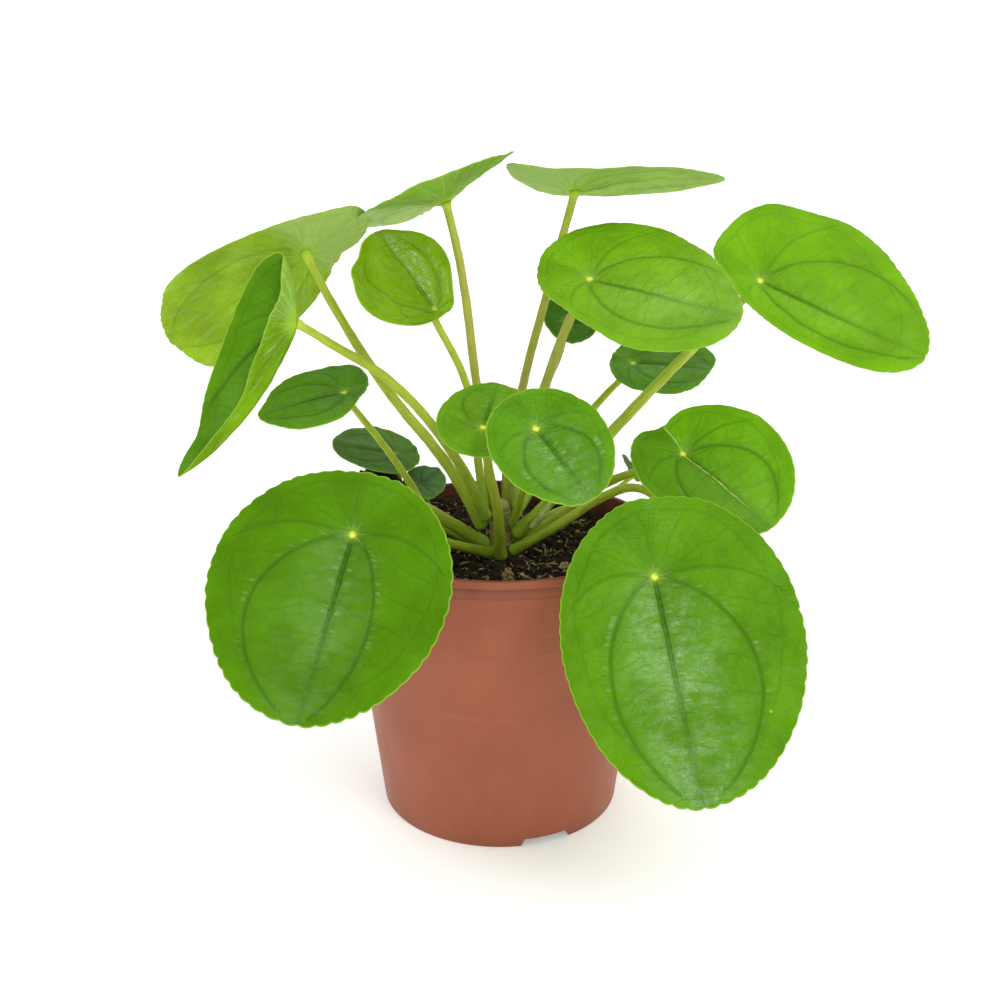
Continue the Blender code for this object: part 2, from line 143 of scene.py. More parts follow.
def linked(name, data):
    made = bpy.data.objects.new(name, data)
    bpy.context.scene.collection.objects.link(made)
    return made


def mesh_of(name, points, faces):
    """A mesh from points in millimetres."""
    mesh = bpy.data.meshes.new(name)
    mesh.from_pydata((np.asarray(points) * MM).tolist(), [], faces)
    return mesh


def mesh_piece(name, points, faces, material, smooth=True):
    """A piece from points in millimetres, riding on the plant's one body."""
    mesh = mesh_of(name, points, faces)
    mesh.polygons.foreach_set("use_smooth", [smooth] * len(mesh.polygons))
    mesh.materials.append(material)
    mesh.validate()
    piece = linked(name, mesh)
    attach(piece, "root")
    return piece


def attribute(piece, name, values):
    """Stores numbers on a piece's points, as one number or three for each."""
    values = np.asarray(values, np.float32)
    kind, key = ("FLOAT", "value") if values.ndim == 1 else ("FLOAT_VECTOR", "vector")
    layer = piece.data.attributes.new(name, kind, "POINT")
    layer.data.foreach_set(key, values.ravel())


def tube_faces(rows, sides):
    """Quads of a tube of rows of points, with a fan on each end round its last two points."""
    faces = []
    for a in range(0, (rows - 1) * sides, sides):
        b = a + sides
        for side in range(sides):
            after = (side + 1) % sides
            faces.append((a + side, a + after, b + after, b + side))
    foot, head, last = rows * sides, rows * sides + 1, (rows - 1) * sides
    for side in range(sides):
        after = (side + 1) % sides
        faces += [(foot, after, side), (head, last + side, last + after)]
    return faces


def smooth_line(knots, steps):
    """A Catmull-Rom curve through the knots, with `steps` points between two of them."""
    knots = np.asarray(knots, float)
    padded = np.concatenate([[2 * knots[0] - knots[1]], knots, [2 * knots[-1] - knots[-2]]])
    line = []
    for i in range(len(knots) - 1):
        a, b, c, d = padded[i:i + 4]
        for t in np.arange(steps) / steps:
            line.append(catmull(a, b, c, d, t))
    line.append(knots[-1])
    return np.array(line)


def catmull(a, b, c, d, t):
    return 0.5 * (2 * b + (c - a) * t + (2 * a - 5 * b + 4 * c - d) * t ** 2
                  + (3 * b - a - 3 * c + d) * t ** 3)


def tube_points(line, radii, sides, rough=0.0, seed=0.0):
    """Rows of points round a line, then its two ends."""
    tangent = unit(np.gradient(line, axis=0))
    side = unit(np.cross(tangent[0], (0.3, 0.9, 0.2)))
    points = []
    for row, (place, ahead, radius) in enumerate(zip(line, tangent, radii)):
        side = unit(side - ahead * np.dot(side, ahead))
        across = np.cross(ahead, side)
        for turn in np.arange(sides) * TAU / sides:
            out = side * math.cos(turn) + across * math.sin(turn)
            bumps = noise.noise(Vector(place + out * radius * 1.5) / 4 + Vector((seed, 0, 0)))
            points.append(place + out * radius * (1 + rough * bumps))
    points += [line[0], line[-1]]
    return np.array(points)


# ---------------------------------------------------------------- materials

class Value:
    """What a shader node gives. Arithmetic on it adds math nodes."""

    def __init__(self, nodes, socket):
        self.nodes, self.socket = nodes, socket

    def __add__(self, other):
        return self.nodes.math("ADD", self, other)

    def __sub__(self, other):
        return self.nodes.math("SUBTRACT", self, other)

    def __mul__(self, other):
        return self.nodes.math("MULTIPLY", self, other)

    def __truediv__(self, other):
        return self.nodes.math("DIVIDE", self, other)

    def __abs__(self):
        return self.nodes.math("ABSOLUTE", self)


class Nodes:
    """A material under construction: short calls that add shader nodes and link them."""

    def __init__(self, name, roughness, specular=0.5):
        self.material = bpy.data.materials.new(name)
        self.material.use_nodes = True
        self.tree = self.material.node_tree
        self.shader = self.tree.nodes["Principled BSDF"]
        self.shader.inputs["Roughness"].default_value = roughness
        self.shader.inputs["Specular IOR Level"].default_value = specular

    def feed(self, socket, value):
        if isinstance(value, Value):
            self.tree.links.new(value.socket, socket)
        elif isinstance(value, (int, float)):
            socket.default_value = value
        else:
            socket.default_value = (*value, 1.0) if len(socket.default_value) == 4 else value

    def add(self, kind, output, *values, **settings):
        """Adds a node, feeds its first inputs, and gives one of its outputs."""
        node = self.tree.nodes.new(f"ShaderNode{kind}")
        for key, value in settings.items():
            setattr(node, key, value)
        for socket, value in zip(node.inputs, values):
            self.feed(socket, value)
        return Value(self, node.outputs[output])

    def math(self, operation, *values):
        return self.add("Math", 0, *values, operation=operation)

    def largest(self, first, *others):
        for other in others:
            first = self.math("MAXIMUM", first, other)
        return first

    def distance(self, x, y):
        return self.math("SQRT", x * x + y * y)

    def split(self, vector):
        node = self.add("SeparateXYZ", 0, vector).socket.node
        return [Value(self, output) for output in node.outputs]

    def parts(self, name):
        """The three numbers of a stored attribute."""
        return self.split(self.add("Attribute", "Vector", attribute_name=name))

    def number(self, name):
        return self.add("Attribute", "Fac", attribute_name=name)

    def vector(self, x, y, z=0.0):
        return self.add("CombineXYZ", 0, x, y, z)

    def ramp(self, value, low, high, start=0.0, end=1.0):
        """Runs smoothly from start to end as the value goes from low to high."""
        return self.add("MapRange", 0, value, low, high, start, end, interpolation_type="SMOOTHSTEP")

    def line(self, distance, width):
        """One on a line and zero `width` away from it."""
        return self.ramp(abs(distance), 0.0, width, 1.0, 0.0)

    def noise(self, place, size, detail=2.0, roughness=0.5, distortion=0.0):
        made = self.add("TexNoise", "Fac", place)
        inputs = made.socket.node.inputs
        inputs["Scale"].default_value = 1 / size
        inputs["Detail"].default_value = detail
        inputs["Roughness"].default_value = roughness
        inputs["Distortion"].default_value = distortion
        return made

    def cells(self, place, size, feature="DISTANCE_TO_EDGE"):
        made = self.add("TexVoronoi", "Distance", place, feature=feature)
        made.socket.node.inputs["Scale"].default_value = 1 / size
        return made

    def mix(self, share, first, second):
        node = self.add("Mix", 2, share, data_type="RGBA").socket.node
        self.feed(node.inputs[6], first)
        self.feed(node.inputs[7], second)
        return Value(self, node.outputs[2])

    def tinted(self, colour, factor):
        made = self.add("VectorMath", 0, colour, operation="SCALE")
        self.feed(made.socket.node.inputs["Scale"], factor)
        return made

    def bump(self, height, distance, strength=1.0):
        made = self.add("Bump", 0)
        inputs = made.socket.node.inputs
        inputs["Strength"].default_value = strength
        inputs["Distance"].default_value = distance * MM
        self.feed(inputs["Height"], height)
        self.feed(self.shader.inputs["Normal"], made)

    def place(self):
        """The point in millimetres, in the row frame."""
        return self.tinted(self.add("TexCoord", "Object"), 1 / MM)

    def finish(self, colour, roughness=None):
        self.feed(self.shader.inputs["Base Color"], colour)
        if roughness is not None:
            self.feed(self.shader.inputs["Roughness"], roughness)
        return self.material


def times(colour, factor):
    return tuple(part * factor for part in colour)


# ---------------------------------------------------------------- leaf blades

class Look(NamedTuple):
    """How a blade differs from its CAD solid: its colours, its outline and its surface."""

    heading: float            # of the midrib, in degrees from +X towards +Y
    top: tuple
    under: tuple
    slot: str
    rough: float = 0.42       # surface roughness of the upper side
    pucker: float = 0.45      # height of the puckers, in mm
    wrinkle: float = 0.5      # strength of the fine wrinkles by the midrib
    vein: float = 0.6         # how dark the veins are
    wave: float = 0.8         # how far the margin waves up and down, in mm
    lobe: float = 0.5         # depth of the margin's scallops, in mm
    bulges: tuple = ()        # (turn, growth, spread) of changes to the outline, in degrees
    shape: tuple = (1.0,) * 12  # the outline's size every 30 degrees round from the tip
    girth: float = 0.9        # of the stalk, as a share of its CAD tube's
    shine: float = 0.2        # strength of the sheen between the inner veins
    # painted light and shade: each half of the upper side is painted brighter or darker by how light
    # falls on it
    painted_light_halves: tuple = (1.0, 1.0)  # brightness of the left and of the right half
    crease: float = 0.0       # how far the midrib is pinched up behind the stalk, in mm
    pale_back: float = 0.9    # how whitish the underside is behind the stalk
    pale_tip: float = 0.0     # and ahead of it
    veins: tuple = (1.0, 1.0)  # how far the inner veins bow out on the left and on the right
    dot: float = 1.0          # how bright the spot over the stalk is
    spots: float = 1.0


FRESH = (0.090, 0.250, 0.001)
# painted shade: a dark underside for leaves that sit in shade
SHADED_UNDER = (0.10, 0.22, 0.05)
PALE = (0.34, 0.56, 0.08)
PALE_BRIGHT = (0.30, 0.54, 0.035)
WHITISH = (0.56, 0.72, 0.28)
MARGIN = (0.30, 0.50, 0.05)
DOT = (0.78, 0.92, 0.10)

LOOKS = {
    "far_left": Look(172, FRESH, (0.29, 0.49, 0.022), "leaf_fresh", rough=0.5, pucker=0.3, girth=0.8,
                     bulges=((-163, -0.26, 9),),
                     shape=(0.99, 1.02, 1.18, 1.46, 1.15, 1.12, 1.46, 0.50, 0.36, 0.42, 0.64, 1.0)),
    "folded_left": Look(-136, (0.082, 0.23, 0.002), (0.18, 0.37, 0.005), "leaf_bright",
                        pucker=0.3, lobe=0.3, pale_back=0.3, girth=0.82,
                        shape=(0.96, 0.56, 0.5, 0.5, 0.55, 0.58, 0.95, 1.12, 1.02, 0.9, 0.85, 0.82)),
    "top_left": Look(112, FRESH, (0.23, 0.43, 0.035), "leaf_fresh", rough=0.5, pucker=0.6,
                     pale_back=0.0, pale_tip=1.0, wave=0.5,
                     shape=(1.05, 1.0, 0.93, 0.84, 0.92, 1.0, 0.97, 0.96, 0.98, 1.0, 1.05, 1.1)),
    "top_right": Look(14, FRESH, (0.26, 0.46, 0.045), "leaf_fresh", rough=0.5, pucker=0.6,
                      pale_back=0.8, pale_tip=0.3, wave=0.4,
                      shape=(1.06, 1.1, 1.12, 0.94, 0.7, 0.62, 0.78, 1.05, 0.97, 0.82, 0.8, 0.88)),
    "small_upper": Look(160, (0.165, 0.325, 0.0), PALE_BRIGHT, "leaf_bright", rough=0.2, vein=0.28,
                        pucker=1.0, lobe=0.2, wrinkle=0.8, shine=0.7, spots=0.3, dot=0.5,
                        shape=(0.94, 1.0, 1.11, 1.5, 1.85, 0.8, 0.45, 0.64, 0.72, 1.03, 1.0, 0.92)),
    "upper_right": Look(-26, (0.160, 0.360, 0.008), PALE, "leaf_bright", rough=0.36, pucker=0.4,
                        shine=0.4, wrinkle=0.7, painted_light_halves=(1.16, 1.0),
                        shape=(1.05, 0.96, 1.0, 1.13, 1.29, 1.22, 1.0, 0.82, 0.66, 0.73, 0.95, 1.1)),
    "far_right": Look(-26, (0.148, 0.365, 0.002), PALE, "leaf_bright", rough=0.4, pucker=0.45,
                      shine=0.12,
                      shape=(1.04, 0.94, 0.91, 0.98, 1.03, 1.19, 0.97, 0.57, 0.53, 0.58, 0.74, 1.0)),
    "right": Look(-44, (0.105, 0.275, 0.003), PALE, "leaf_fresh", rough=0.45, pucker=0.35,
                  lobe=0.3, crease=2.0, bulges=((180, -0.25, 14),), painted_light_halves=(1.35, 0.9)),
    "front_right": Look(-76, (0.092, 0.257, 0.0), PALE, "leaf_fresh", rough=0.34, wrinkle=1.0,
                        lobe=0.8, shine=0.8, girth=0.66,
                        shape=(1.0, 1.0, 1.0, 1.02, 1.02, 0.99, 0.9, 0.87, 0.93, 0.98, 1.0, 1.0)),
    "front_left": Look(-111, (0.078, 0.218, 0.0), PALE, "leaf_fresh", rough=0.38, wrinkle=0.9,
                       lobe=0.9, veins=(0.62, 1.05), shine=0.45,
                       shape=(1.02, 1.0, 1.0, 1.0, 0.99, 0.96, 0.92, 0.94, 0.98, 1.0, 1.0, 1.02)),
    "front_centre": Look(-44, (0.090, 0.26, 0.002), PALE, "leaf_fresh", rough=0.30, pucker=0.6,
                         wrinkle=1.5, lobe=0.4, shine=0.6, girth=0.7),
    "centre_left": Look(69, (0.135, 0.315, 0.008), PALE, "leaf_deep", pucker=0.5, lobe=0.3,
                        wrinkle=1.0),
    "mid_left": Look(-152, (0.105, 0.265, 0.012), PALE_BRIGHT, "leaf_deep", lobe=0.4,
                     pucker=0.25,
                     shape=(1.05, 1.12, 1.2, 0.98, 0.6, 0.6, 0.78, 1.12, 1.03, 0.98, 0.95, 0.93)),
    "behind_right": Look(-15, (0.118, 0.285, 0.018), PALE_BRIGHT, "leaf_shaded", lobe=0.4,
                         pucker=0.4,
                         shape=(0.98, 1.08, 1.05, 1.0, 0.9, 0.8, 0.74, 0.84, 1.0, 1.1, 1.1, 1.0)),
    # painted shade: behind_centre sits in shade and is painted darker, top and underside
    "behind_centre": Look(20, (0.07, 0.18, 0.018), SHADED_UNDER, "leaf_shaded", pale_back=0.0,
                          lobe=0.2, pucker=0.2, spots=0.0,
                          shape=(0.86, 0.95, 1.0, 1.0, 1.0, 1.0, 1.0, 0.95, 0.86, 0.76, 0.74, 0.78)),
    "bud": Look(140, (0.22, 0.34, 0.18), (0.26, 0.38, 0.22), "leaf_shaded", lobe=0.1, pucker=0.05,
                spots=0.0, dot=0.0),
    # painted shade: pup and small_pup sit in shade under the other leaves and are painted darker
    "pup": Look(-165, (0.078, 0.168, 0.022), SHADED_UNDER, "leaf_shaded", pale_back=0.0,
                lobe=0.25, pucker=0.3, rough=0.5, vein=0.4, spots=0.4, dot=0.15),
    "small_pup": Look(40, (0.105, 0.205, 0.065), SHADED_UNDER, "leaf_shaded", pale_back=0.0,
                      lobe=0.1, pucker=0.1, rough=0.5, vein=0.2, spots=0.0, dot=0.0, shape=(1.2,) * 12),
}

INNER_VEIN_POINTS = 40
CROSS_VEIN_POINTS = 24
LOBE_LENGTH = 5.2         # along the margin, in mm
POINT_SPACING = 1.0       # of a blade's points near its margin, in mm
ROW_SPACING = 1.3         # of its rows of points, from the stalk out
CENTRE_THICKNESS = 0.75
EDGE_THICKNESS = 0.4
RUNG_SPACING = 11.0       # of the thin veins between the midrib and the margin
RAY_SPACING = 0.52        # of the thin veins behind the stalk, in radians


def around(ring, turns):
    """Points of a closed smooth curve through a ring, at turns from its first point."""
    count = len(ring)
    step = turns / TAU * count
    index = np.floor(step).astype(int)
    t = (step - index)[:, None]
    return catmull(*(ring[(index + k) % count] for k in (-1, 0, 1, 2)), t)


def outward(rows, shares):
    """Points on smooth curves from the first row through the others, at a grid of shares."""
    slopes = np.gradient(rows, SHARES, axis=0)
    last = len(SHARES) - 2
    piece = np.clip(np.searchsorted(SHARES, shares, side="right") - 1, 0, last)
    span = np.diff(SHARES)[piece]
    t = np.minimum((shares - SHARES[piece]) / span, 1.0)[..., None]
    column = np.broadcast_to(np.arange(rows.shape[1]), shares.shape)
    a, b = rows[piece, column], rows[piece + 1, column]
    ta, tb = slopes[piece, column] * span[..., None], slopes[piece + 1, column] * span[..., None]
    inside = ((2 * t ** 3 - 3 * t ** 2 + 1) * a + (t ** 3 - 2 * t ** 2 + t) * ta
              + (3 * t ** 2 - 2 * t ** 3) * b + (t ** 3 - t ** 2) * tb)
    beyond = np.maximum(shares - 1, 0)[..., None] * slopes[-1][column]
    return inside + beyond


def intrinsic_turns(rows, turns):
    """The angle round the stalk, measured in the surface, of each turn, from 0 at the tip."""
    spokes = unit(rows[1] - rows[0])
    between = np.arccos(np.clip((spokes * np.roll(spokes, -1, axis=0)).sum(axis=1), -1, 1))
    angles = np.concatenate([[0], np.cumsum(between)])
    angles *= TAU / angles[-1]
    return np.interp(turns, np.arange(SIDES + 1) * TAU / SIDES, angles)


def round_noise(turns, size, seed):
    """Noise for each turn that comes back to where it began."""
    return np.array([noise.noise(Vector((math.cos(turn) * size, math.sin(turn) * size, seed)))
                     for turn in turns])


def outline(look, rows, turns, seed):
    """How far each turn reaches, as a share of the CAD margin: its shape, bulges and scallops."""
    growth = around(np.array(look.shape)[:, None], turns)[:, 0] - 1
    for turn, amount, spread in look.bulges:
        apart = (np.degrees(turns) - turn + 180) % 360 - 180
        growth += amount * np.exp(-(apart / spread) ** 2)
    margin = around(rows[-1], turns)
    steps = np.linalg.norm(np.roll(margin, -1, axis=0) - margin, axis=1)
    along = np.concatenate([[0], np.cumsum(steps)])
    lobes = max(6, round(along[-1] / LOBE_LENGTH))
    phase = along[:-1] / along[-1] * lobes
    drift = 0.5 * round_noise(turns, 2, seed)
    scallop = np.abs(np.sin(math.pi * (phase + drift))) ** 0.8 - 0.65
    size = 0.75 + 0.6 * round_noise(turns, 4, seed + 9)
    radius = np.linalg.norm(margin - rows[0, 0], axis=1)
    return 1 + growth + look.lobe * scallop * size / radius


def to_line(x, y, line):
    """Distance from each point to a polyline in the leaf's own plane, signed by its side."""
    start, step = line[:-1], np.diff(line, axis=0)
    best = np.full(x.shape, 1e9)
    signed = np.zeros(x.shape)
    for (px, py), (dx, dy) in zip(start, step):
        t = np.clip(((x - px) * dx + (y - py) * dy) / (dx * dx + dy * dy), 0, 1)
        ox, oy = x - px - t * dx, y - py - t * dy
        distance = np.hypot(ox, oy)
        closer = distance < best
        best = np.where(closer, distance, best)
        signed = np.where(closer, np.sign(dx * oy - dy * ox) * distance, signed)
    return signed


def inner_vein(reach, half, bow):
    """The strong side vein, which bows out from the stalk and comes back to near the tip."""
    share = np.linspace(0, 0.93, INNER_VEIN_POINTS)
    return np.stack([share * reach, 1.7 * bow * share ** 0.7 * (1 - share) ** 0.8 * half], axis=1)


def cross_vein(reach, half):
    """The side vein that leaves the stalk across the blade and bends a little forward."""
    share = np.linspace(0, 1, CROSS_VEIN_POINTS)
    return np.stack([(0.15 * share ** 3 - 0.07 * share) * reach, 0.8 * share * half], axis=1)


def bell(distance, width):
    return np.exp(-(distance / width) ** 2)


def blade_surface(look, rows, seed):
    """A blade's surface as a grid of points, their leaf coordinates, and how far in they lie."""
    girth = np.linalg.norm(np.roll(rows[-1], -1, axis=0) - rows[-1], axis=1).sum()
    columns = int(np.clip(8 * round(girth / POINT_SPACING / 8), 48, 320))
    even = np.arange(columns) / columns
    turns = TAU * even - 0.45 * np.sin(TAU * even)
    reach = np.linalg.norm(rows[-1] - rows[0], axis=1).mean()
    count = int(np.clip(round(reach / ROW_SPACING), 10, 40))
    spread = (np.arange(1, count + 1) / count) ** 0.9
    spokes = np.stack([around(ring, turns) for ring in rows])
    grid = outward(spokes, spread[:, None] * outline(look, rows, turns, seed)[None, :])
    legs = np.diff(np.concatenate([np.broadcast_to(rows[0, 0], (1, columns, 3)), grid]), axis=0)
    radius = np.cumsum(np.linalg.norm(legs, axis=2), axis=0)
    angle = intrinsic_turns(rows, turns)[None, :]
    return grid, radius * np.cos(angle), radius * np.sin(angle), radius[-1][None, :] - radius


def normals(grid, up):
    """Unit normals of a grid of points that closes on itself, on the side that `up` names."""
    along = np.gradient(grid, axis=0)
    across = np.roll(grid, -1, axis=1) - np.roll(grid, 1, axis=1)
    facing = unit(np.cross(along, across))
    return facing if (facing[0] @ up).mean() > 0 else -facing


def relief(look, x, y, edge, seed):
    """Height of the upper side over the smooth sheet, and the distances from three kinds of vein."""
    reach, back, left, right = x.max(), -x.min(), y.max(), -y.min()

    def from_vein(on_left, on_right):
        return np.where(y > 0, to_line(x, np.abs(y), on_left), to_line(x, np.abs(y), on_right))

    inner = from_vein(inner_vein(reach, left, look.veins[0]), inner_vein(reach, right, look.veins[1]))
    cross = from_vein(cross_vein(reach, left), cross_vein(reach, right))
    radius = np.hypot(x, y)
    scallops = 0.025 * np.abs(np.sin(3.5 * np.arctan2(np.abs(y), x)))
    loop = (radius / (radius + edge) - 0.83 - scallops) * (radius + edge)
    inside = np.clip(edge / 6, 0, 1)
    ahead = np.clip(1 - x / reach, 0, 1) * (x > 0)
    groove = -0.5 * bell(y, 1.1) * ahead ** 0.5 + 0.3 * bell(np.abs(y) - 2.6, 1.6) * ahead
    groove += (-0.28 * bell(inner, 1.0) + 0.12 * bell(np.abs(inner) - 2.2, 1.4)) * inside
    groove += -0.16 * bell(cross, 0.9) * inside - 0.10 * bell(loop, 1.0)
    swell = np.empty(x.shape)
    for index in np.ndindex(x.shape):
        here = Vector((x[index], y[index], seed * 13))
        swell[index] = noise.noise(here / 7) + 0.5 * noise.noise(here / 3.2)
    puckers = look.pucker * swell * np.clip(radius / 6, 0, 1) * np.clip(edge / 3, 0.2, 1)
    wave = round_noise(np.arctan2(y[-1], x[-1]), 3, seed + 4)
    share = np.hypot(x / np.where(x > 0, reach, back), y / np.where(y > 0, left, right))
    wave = look.wave * wave[None, :] * np.clip(share, 0, 1) ** 3 * 1.6
    pinch = look.crease * bell(y, 1.8) * np.clip(-x / max(back, 1), 0, 1)
    return groove + puckers + wave + pinch, inner, cross, loop


def blade(name, look, rows, up, seed):
    """A closed sheet over the CAD blade's middle surface, with its leaf coordinates stored on it."""
    grid, x, y, edge = blade_surface(look, rows, seed)
    facing = normals(grid, up)
    height, inner, cross, loop = relief(look, x, y, edge, seed)
    reach, columns = x.max(), x.shape[1]
    thick = EDGE_THICKNESS + (CENTRE_THICKNESS - EDGE_THICKNESS) * np.clip(edge / 8, 0, 1)
    ridge = 0.55 * bell(y, 1.0) * np.clip(1 - x / reach, 0, 1) * (x > 0)
    ridge += 0.3 * bell(inner, 0.8) + 0.15 * bell(cross, 0.7)
    upper = grid + facing * (height + thick / 2)[..., None]
    lower = upper - facing * (thick + ridge * np.clip(edge / 3, 0, 1))[..., None]
    rim = (upper[-1] + lower[-1]) / 2 + unit(grid[-1] - grid[-2]) * EDGE_THICKNESS / 2
    half = up * CENTRE_THICKNESS / 2
    sheets = np.concatenate([upper, rim[None], lower[::-1]])
    points = np.concatenate([sheets.reshape(-1, 3), [rows[0, 0] + half, rows[0, 0] - half]])
    faces = [(first, *rest[::-1]) for first, *rest in tube_faces(len(sheets), columns)]
    piece = mesh_piece(f"blade_{name}", points, faces, leaf_material(name, look, reach))

    def stored(*rows_and_middles):
        """Values for both sides, the rim between them and the two points in the middle."""
        return np.stack([np.append(np.concatenate([rows, rows[-1:], rows[::-1]]), [middle] * 2)
                         for rows, middle in rows_and_middles], axis=1)

    attribute(piece, "leaf_place", stored((x, 0), (y, 0), (edge, edge[0].mean() + 1)))
    attribute(piece, "leaf_veins", stored((inner, 0), (cross, 0), (loop, -9)))
    side = np.repeat([1] * len(upper) + [0.5] + [0] * len(lower), columns)
    attribute(piece, "leaf_side", np.append(side, [1, 0]))
    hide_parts(f"leaf_blade_{name}")


class LeafNodes(Nodes):
    """A blade's material, with its leaf coordinates and the noises that its layers share."""

    def __init__(self, name, look, reach):
        super().__init__(f"leaf_{name}", look.rough)
        self.look, self.reach = look, reach
        self.x, self.y, self.edge = self.parts("leaf_place")
        self.inner, self.cross, self.loop = self.parts("leaf_veins")
        self.side = self.number("leaf_side")
        self.flat = self.vector(self.x, self.y)
        self.across, self.radius = abs(self.y), self.distance(self.x, self.y)
        self.ahead = self.ramp(self.x, 0.0, 2.0)
        self.cloud = self.noise(self.flat, 22.0, 3.0)
        self.grain = self.noise(self.flat, 1.0, 2.0)


def vein_lines(n):
    """How strong a vein each point lies on, and the rays behind the stalk on their own."""
    inside = n.ramp(n.edge, 1.0, 5.0)
    within = n.ramp(n.loop, -1.0, 0.0, 1.0, 0.0)
    wander = n.noise(n.flat, 14.0, 2.0)
    slant = n.x + wander * 7.0 - n.across * 0.32
    rung_phase = n.math("FRACT", slant / RUNG_SPACING + 20.0)
    rung = n.line((rung_phase - 0.5) * RUNG_SPACING, 0.9) * n.ahead * within
    turn = n.math("ARCTAN2", n.across, n.x * -1.0)
    ray_phase = n.math("FRACT", turn / RAY_SPACING + wander * 0.8)
    ray = n.line((ray_phase - 0.5) * (n.radius * RAY_SPACING), 0.7)
    ray = ray * n.ramp(n.x, -3.0, -1.0, 1.0, 0.0) * within
    net = n.ramp(n.cells(n.flat, 6.5), 0.0, 0.13, 1.0, 0.0) * (inside * 0.15)
    middle = n.line(n.y, 1.2) * n.ahead * n.ramp(n.x, n.reach * 0.15, n.reach * 0.95, 1.0, 0.25)
    strong = n.line(n.inner, 1.0) * (inside * 0.68)
    weak = n.line(n.cross, 1.2) * (inside * 0.5)
    ring = n.line(n.loop, 1.0) * 0.3
    return n.largest(middle, strong, weak, ring, n.largest(rung * 0.28, ray * 0.3), net), ray


def glints(n):
    """Painted highlights: short pale glints on the wrinkles that stand across the midrib and the inner
    veins.
    """
    ticks = n.noise(n.vector(n.x, n.across * 0.12), 1.5, 2.0)
    by_vein = n.largest(n.line(n.across - 2.6, 2.0) * n.ahead, n.line(n.inner - 1.8, 1.6))
    by_vein = by_vein * n.ramp(n.x, n.reach * 0.45, n.reach * 0.75, 1.0, 0.2)
    return n.ramp(ticks, 0.51, 0.66) * (by_vein * n.ahead) * n.ramp(n.radius, 3.0, 8.0)


def leaf_top(n, veins, ray):
    look, base = n.look, n.look.top
    top = n.mix(n.ramp(n.cloud, 0.3, 0.7), times(base, 0.82), times(base, 1.2))
    # painted sheen: brighter patches about 7 mm across on the upper side
    top = n.mix(n.ramp(n.noise(n.flat, 7.0, 2.0), 0.35, 0.7) * 0.2, top, times(base, 1.25))
    # painted light and shade: one half of the blade is painted brighter than the other, as it faces the
    # light
    top = n.tinted(top, n.ramp(n.y, -1.5, 1.5, look.painted_light_halves[1], look.painted_light_halves[0]))
    top = n.mix(n.ramp(n.grain, 0.3, 0.75) * 0.2, top, times(base, 1.35))
    # painted sheen: a paler, greyer tint between the inner veins, where the blade's gloss lies
    between = n.ramp(n.inner, -3.0, 2.0, 0.12, 0.0) * n.ahead
    top = n.mix(between, top, (base[0] * 1.15, base[1], base[2] + 0.012))
    beside = n.largest(n.line(n.inner, 4.5), n.line(n.y, 4.5) * n.ahead)
    top = n.mix(beside * 0.22, top, times(base, 0.62))
    top = n.mix(veins * look.vein, top, (base[0] * 0.22, base[1] * 0.40, base[2] * 0.6 + 0.006))
    # painted highlights on the wrinkles beside the midrib and the inner veins
    top = n.mix(glints(n) * (0.3 * look.wrinkle), top, (0.33, 0.52, 0.20))
    spot = n.ramp(n.cells(n.flat, 26.0, "F1"), 0.010, 0.034, 1.0, 0.0)
    top = n.mix(spot * (0.8 * look.spots), top, (0.50, 0.72, 0.06))
    if look.crease:
        fold = n.line(n.y, 0.6) * n.ramp(n.x, n.reach * 0.5, n.reach * 0.85, 0.9, 0.0)
        broken = n.ramp(n.noise(n.flat, 2.2, 1.0), 0.35, 0.5, 0.35, 1.0)
        top = n.mix(fold * broken, top, (0.55, 0.68, 0.14))
    # pale rays along the vein bases round the stalk: partly their own pale colour, partly painted
    # highlight
    root = n.largest(n.line(n.cross, 1.0), n.line(n.inner, 1.0), ray * 0.7)
    root = root * n.ramp(n.radius, 2.0, 8.0, 0.34 * look.dot, 0.0)
    top = n.mix(root, top, (0.33, 0.52, 0.16))
    top = n.mix(n.ramp(n.radius, 1.2, 4.0, 0.4 * look.dot, 0.0), top, (0.33, 0.55, 0.04))
    return n.mix(n.ramp(n.radius, 0.5, 1.8, look.dot, 0.0), top, DOT)


def leaf_under(n, veins):
    look, base = n.look, n.look.under
    below = n.mix(n.ramp(n.cloud, 0.3, 0.7), times(base, 0.74), times(base, 1.15))
    whiter = tuple((part + light) / 2 for part, light in zip(base, WHITISH))
    below = n.mix(n.ramp(n.x, -4.0, 4.0, look.pale_back, look.pale_tip), below, whiter)
    fan = n.math("ARCTAN2", n.across, n.x)
    hairs = n.ramp(n.noise(n.vector(fan * 14.0, n.radius * 0.06), 1.0, 3.0), 0.48, 0.68)
    below = n.mix(hairs * n.ramp(n.radius, 4.0, 26.0, 0.42, 0.16), below, WHITISH)
    below = n.mix(veins * 0.5, below, times(base, 0.55))
    return n.mix(n.ramp(n.radius, 1.5, 8.0, 1.0, 0.0) * 0.6, below, (0.40, 0.66, 0.05))


def leaf_wrinkles(n, veins):
    wrinkle = n.noise(n.vector(n.x, n.y * 0.3), 1.5, 2.0, distortion=0.8)
    near_midrib = n.ramp(n.across, 1.0, 13.0, 1.6, 0.25) * n.look.wrinkle
    dimple = n.noise(n.vector(n.x, n.y * 0.7), 2.6, 2.0, distortion=0.5)
    height = wrinkle * near_midrib + dimple * (0.5 + 1.2 * n.look.wrinkle)
    n.bump(height + n.grain * 0.15 - veins, 0.42)


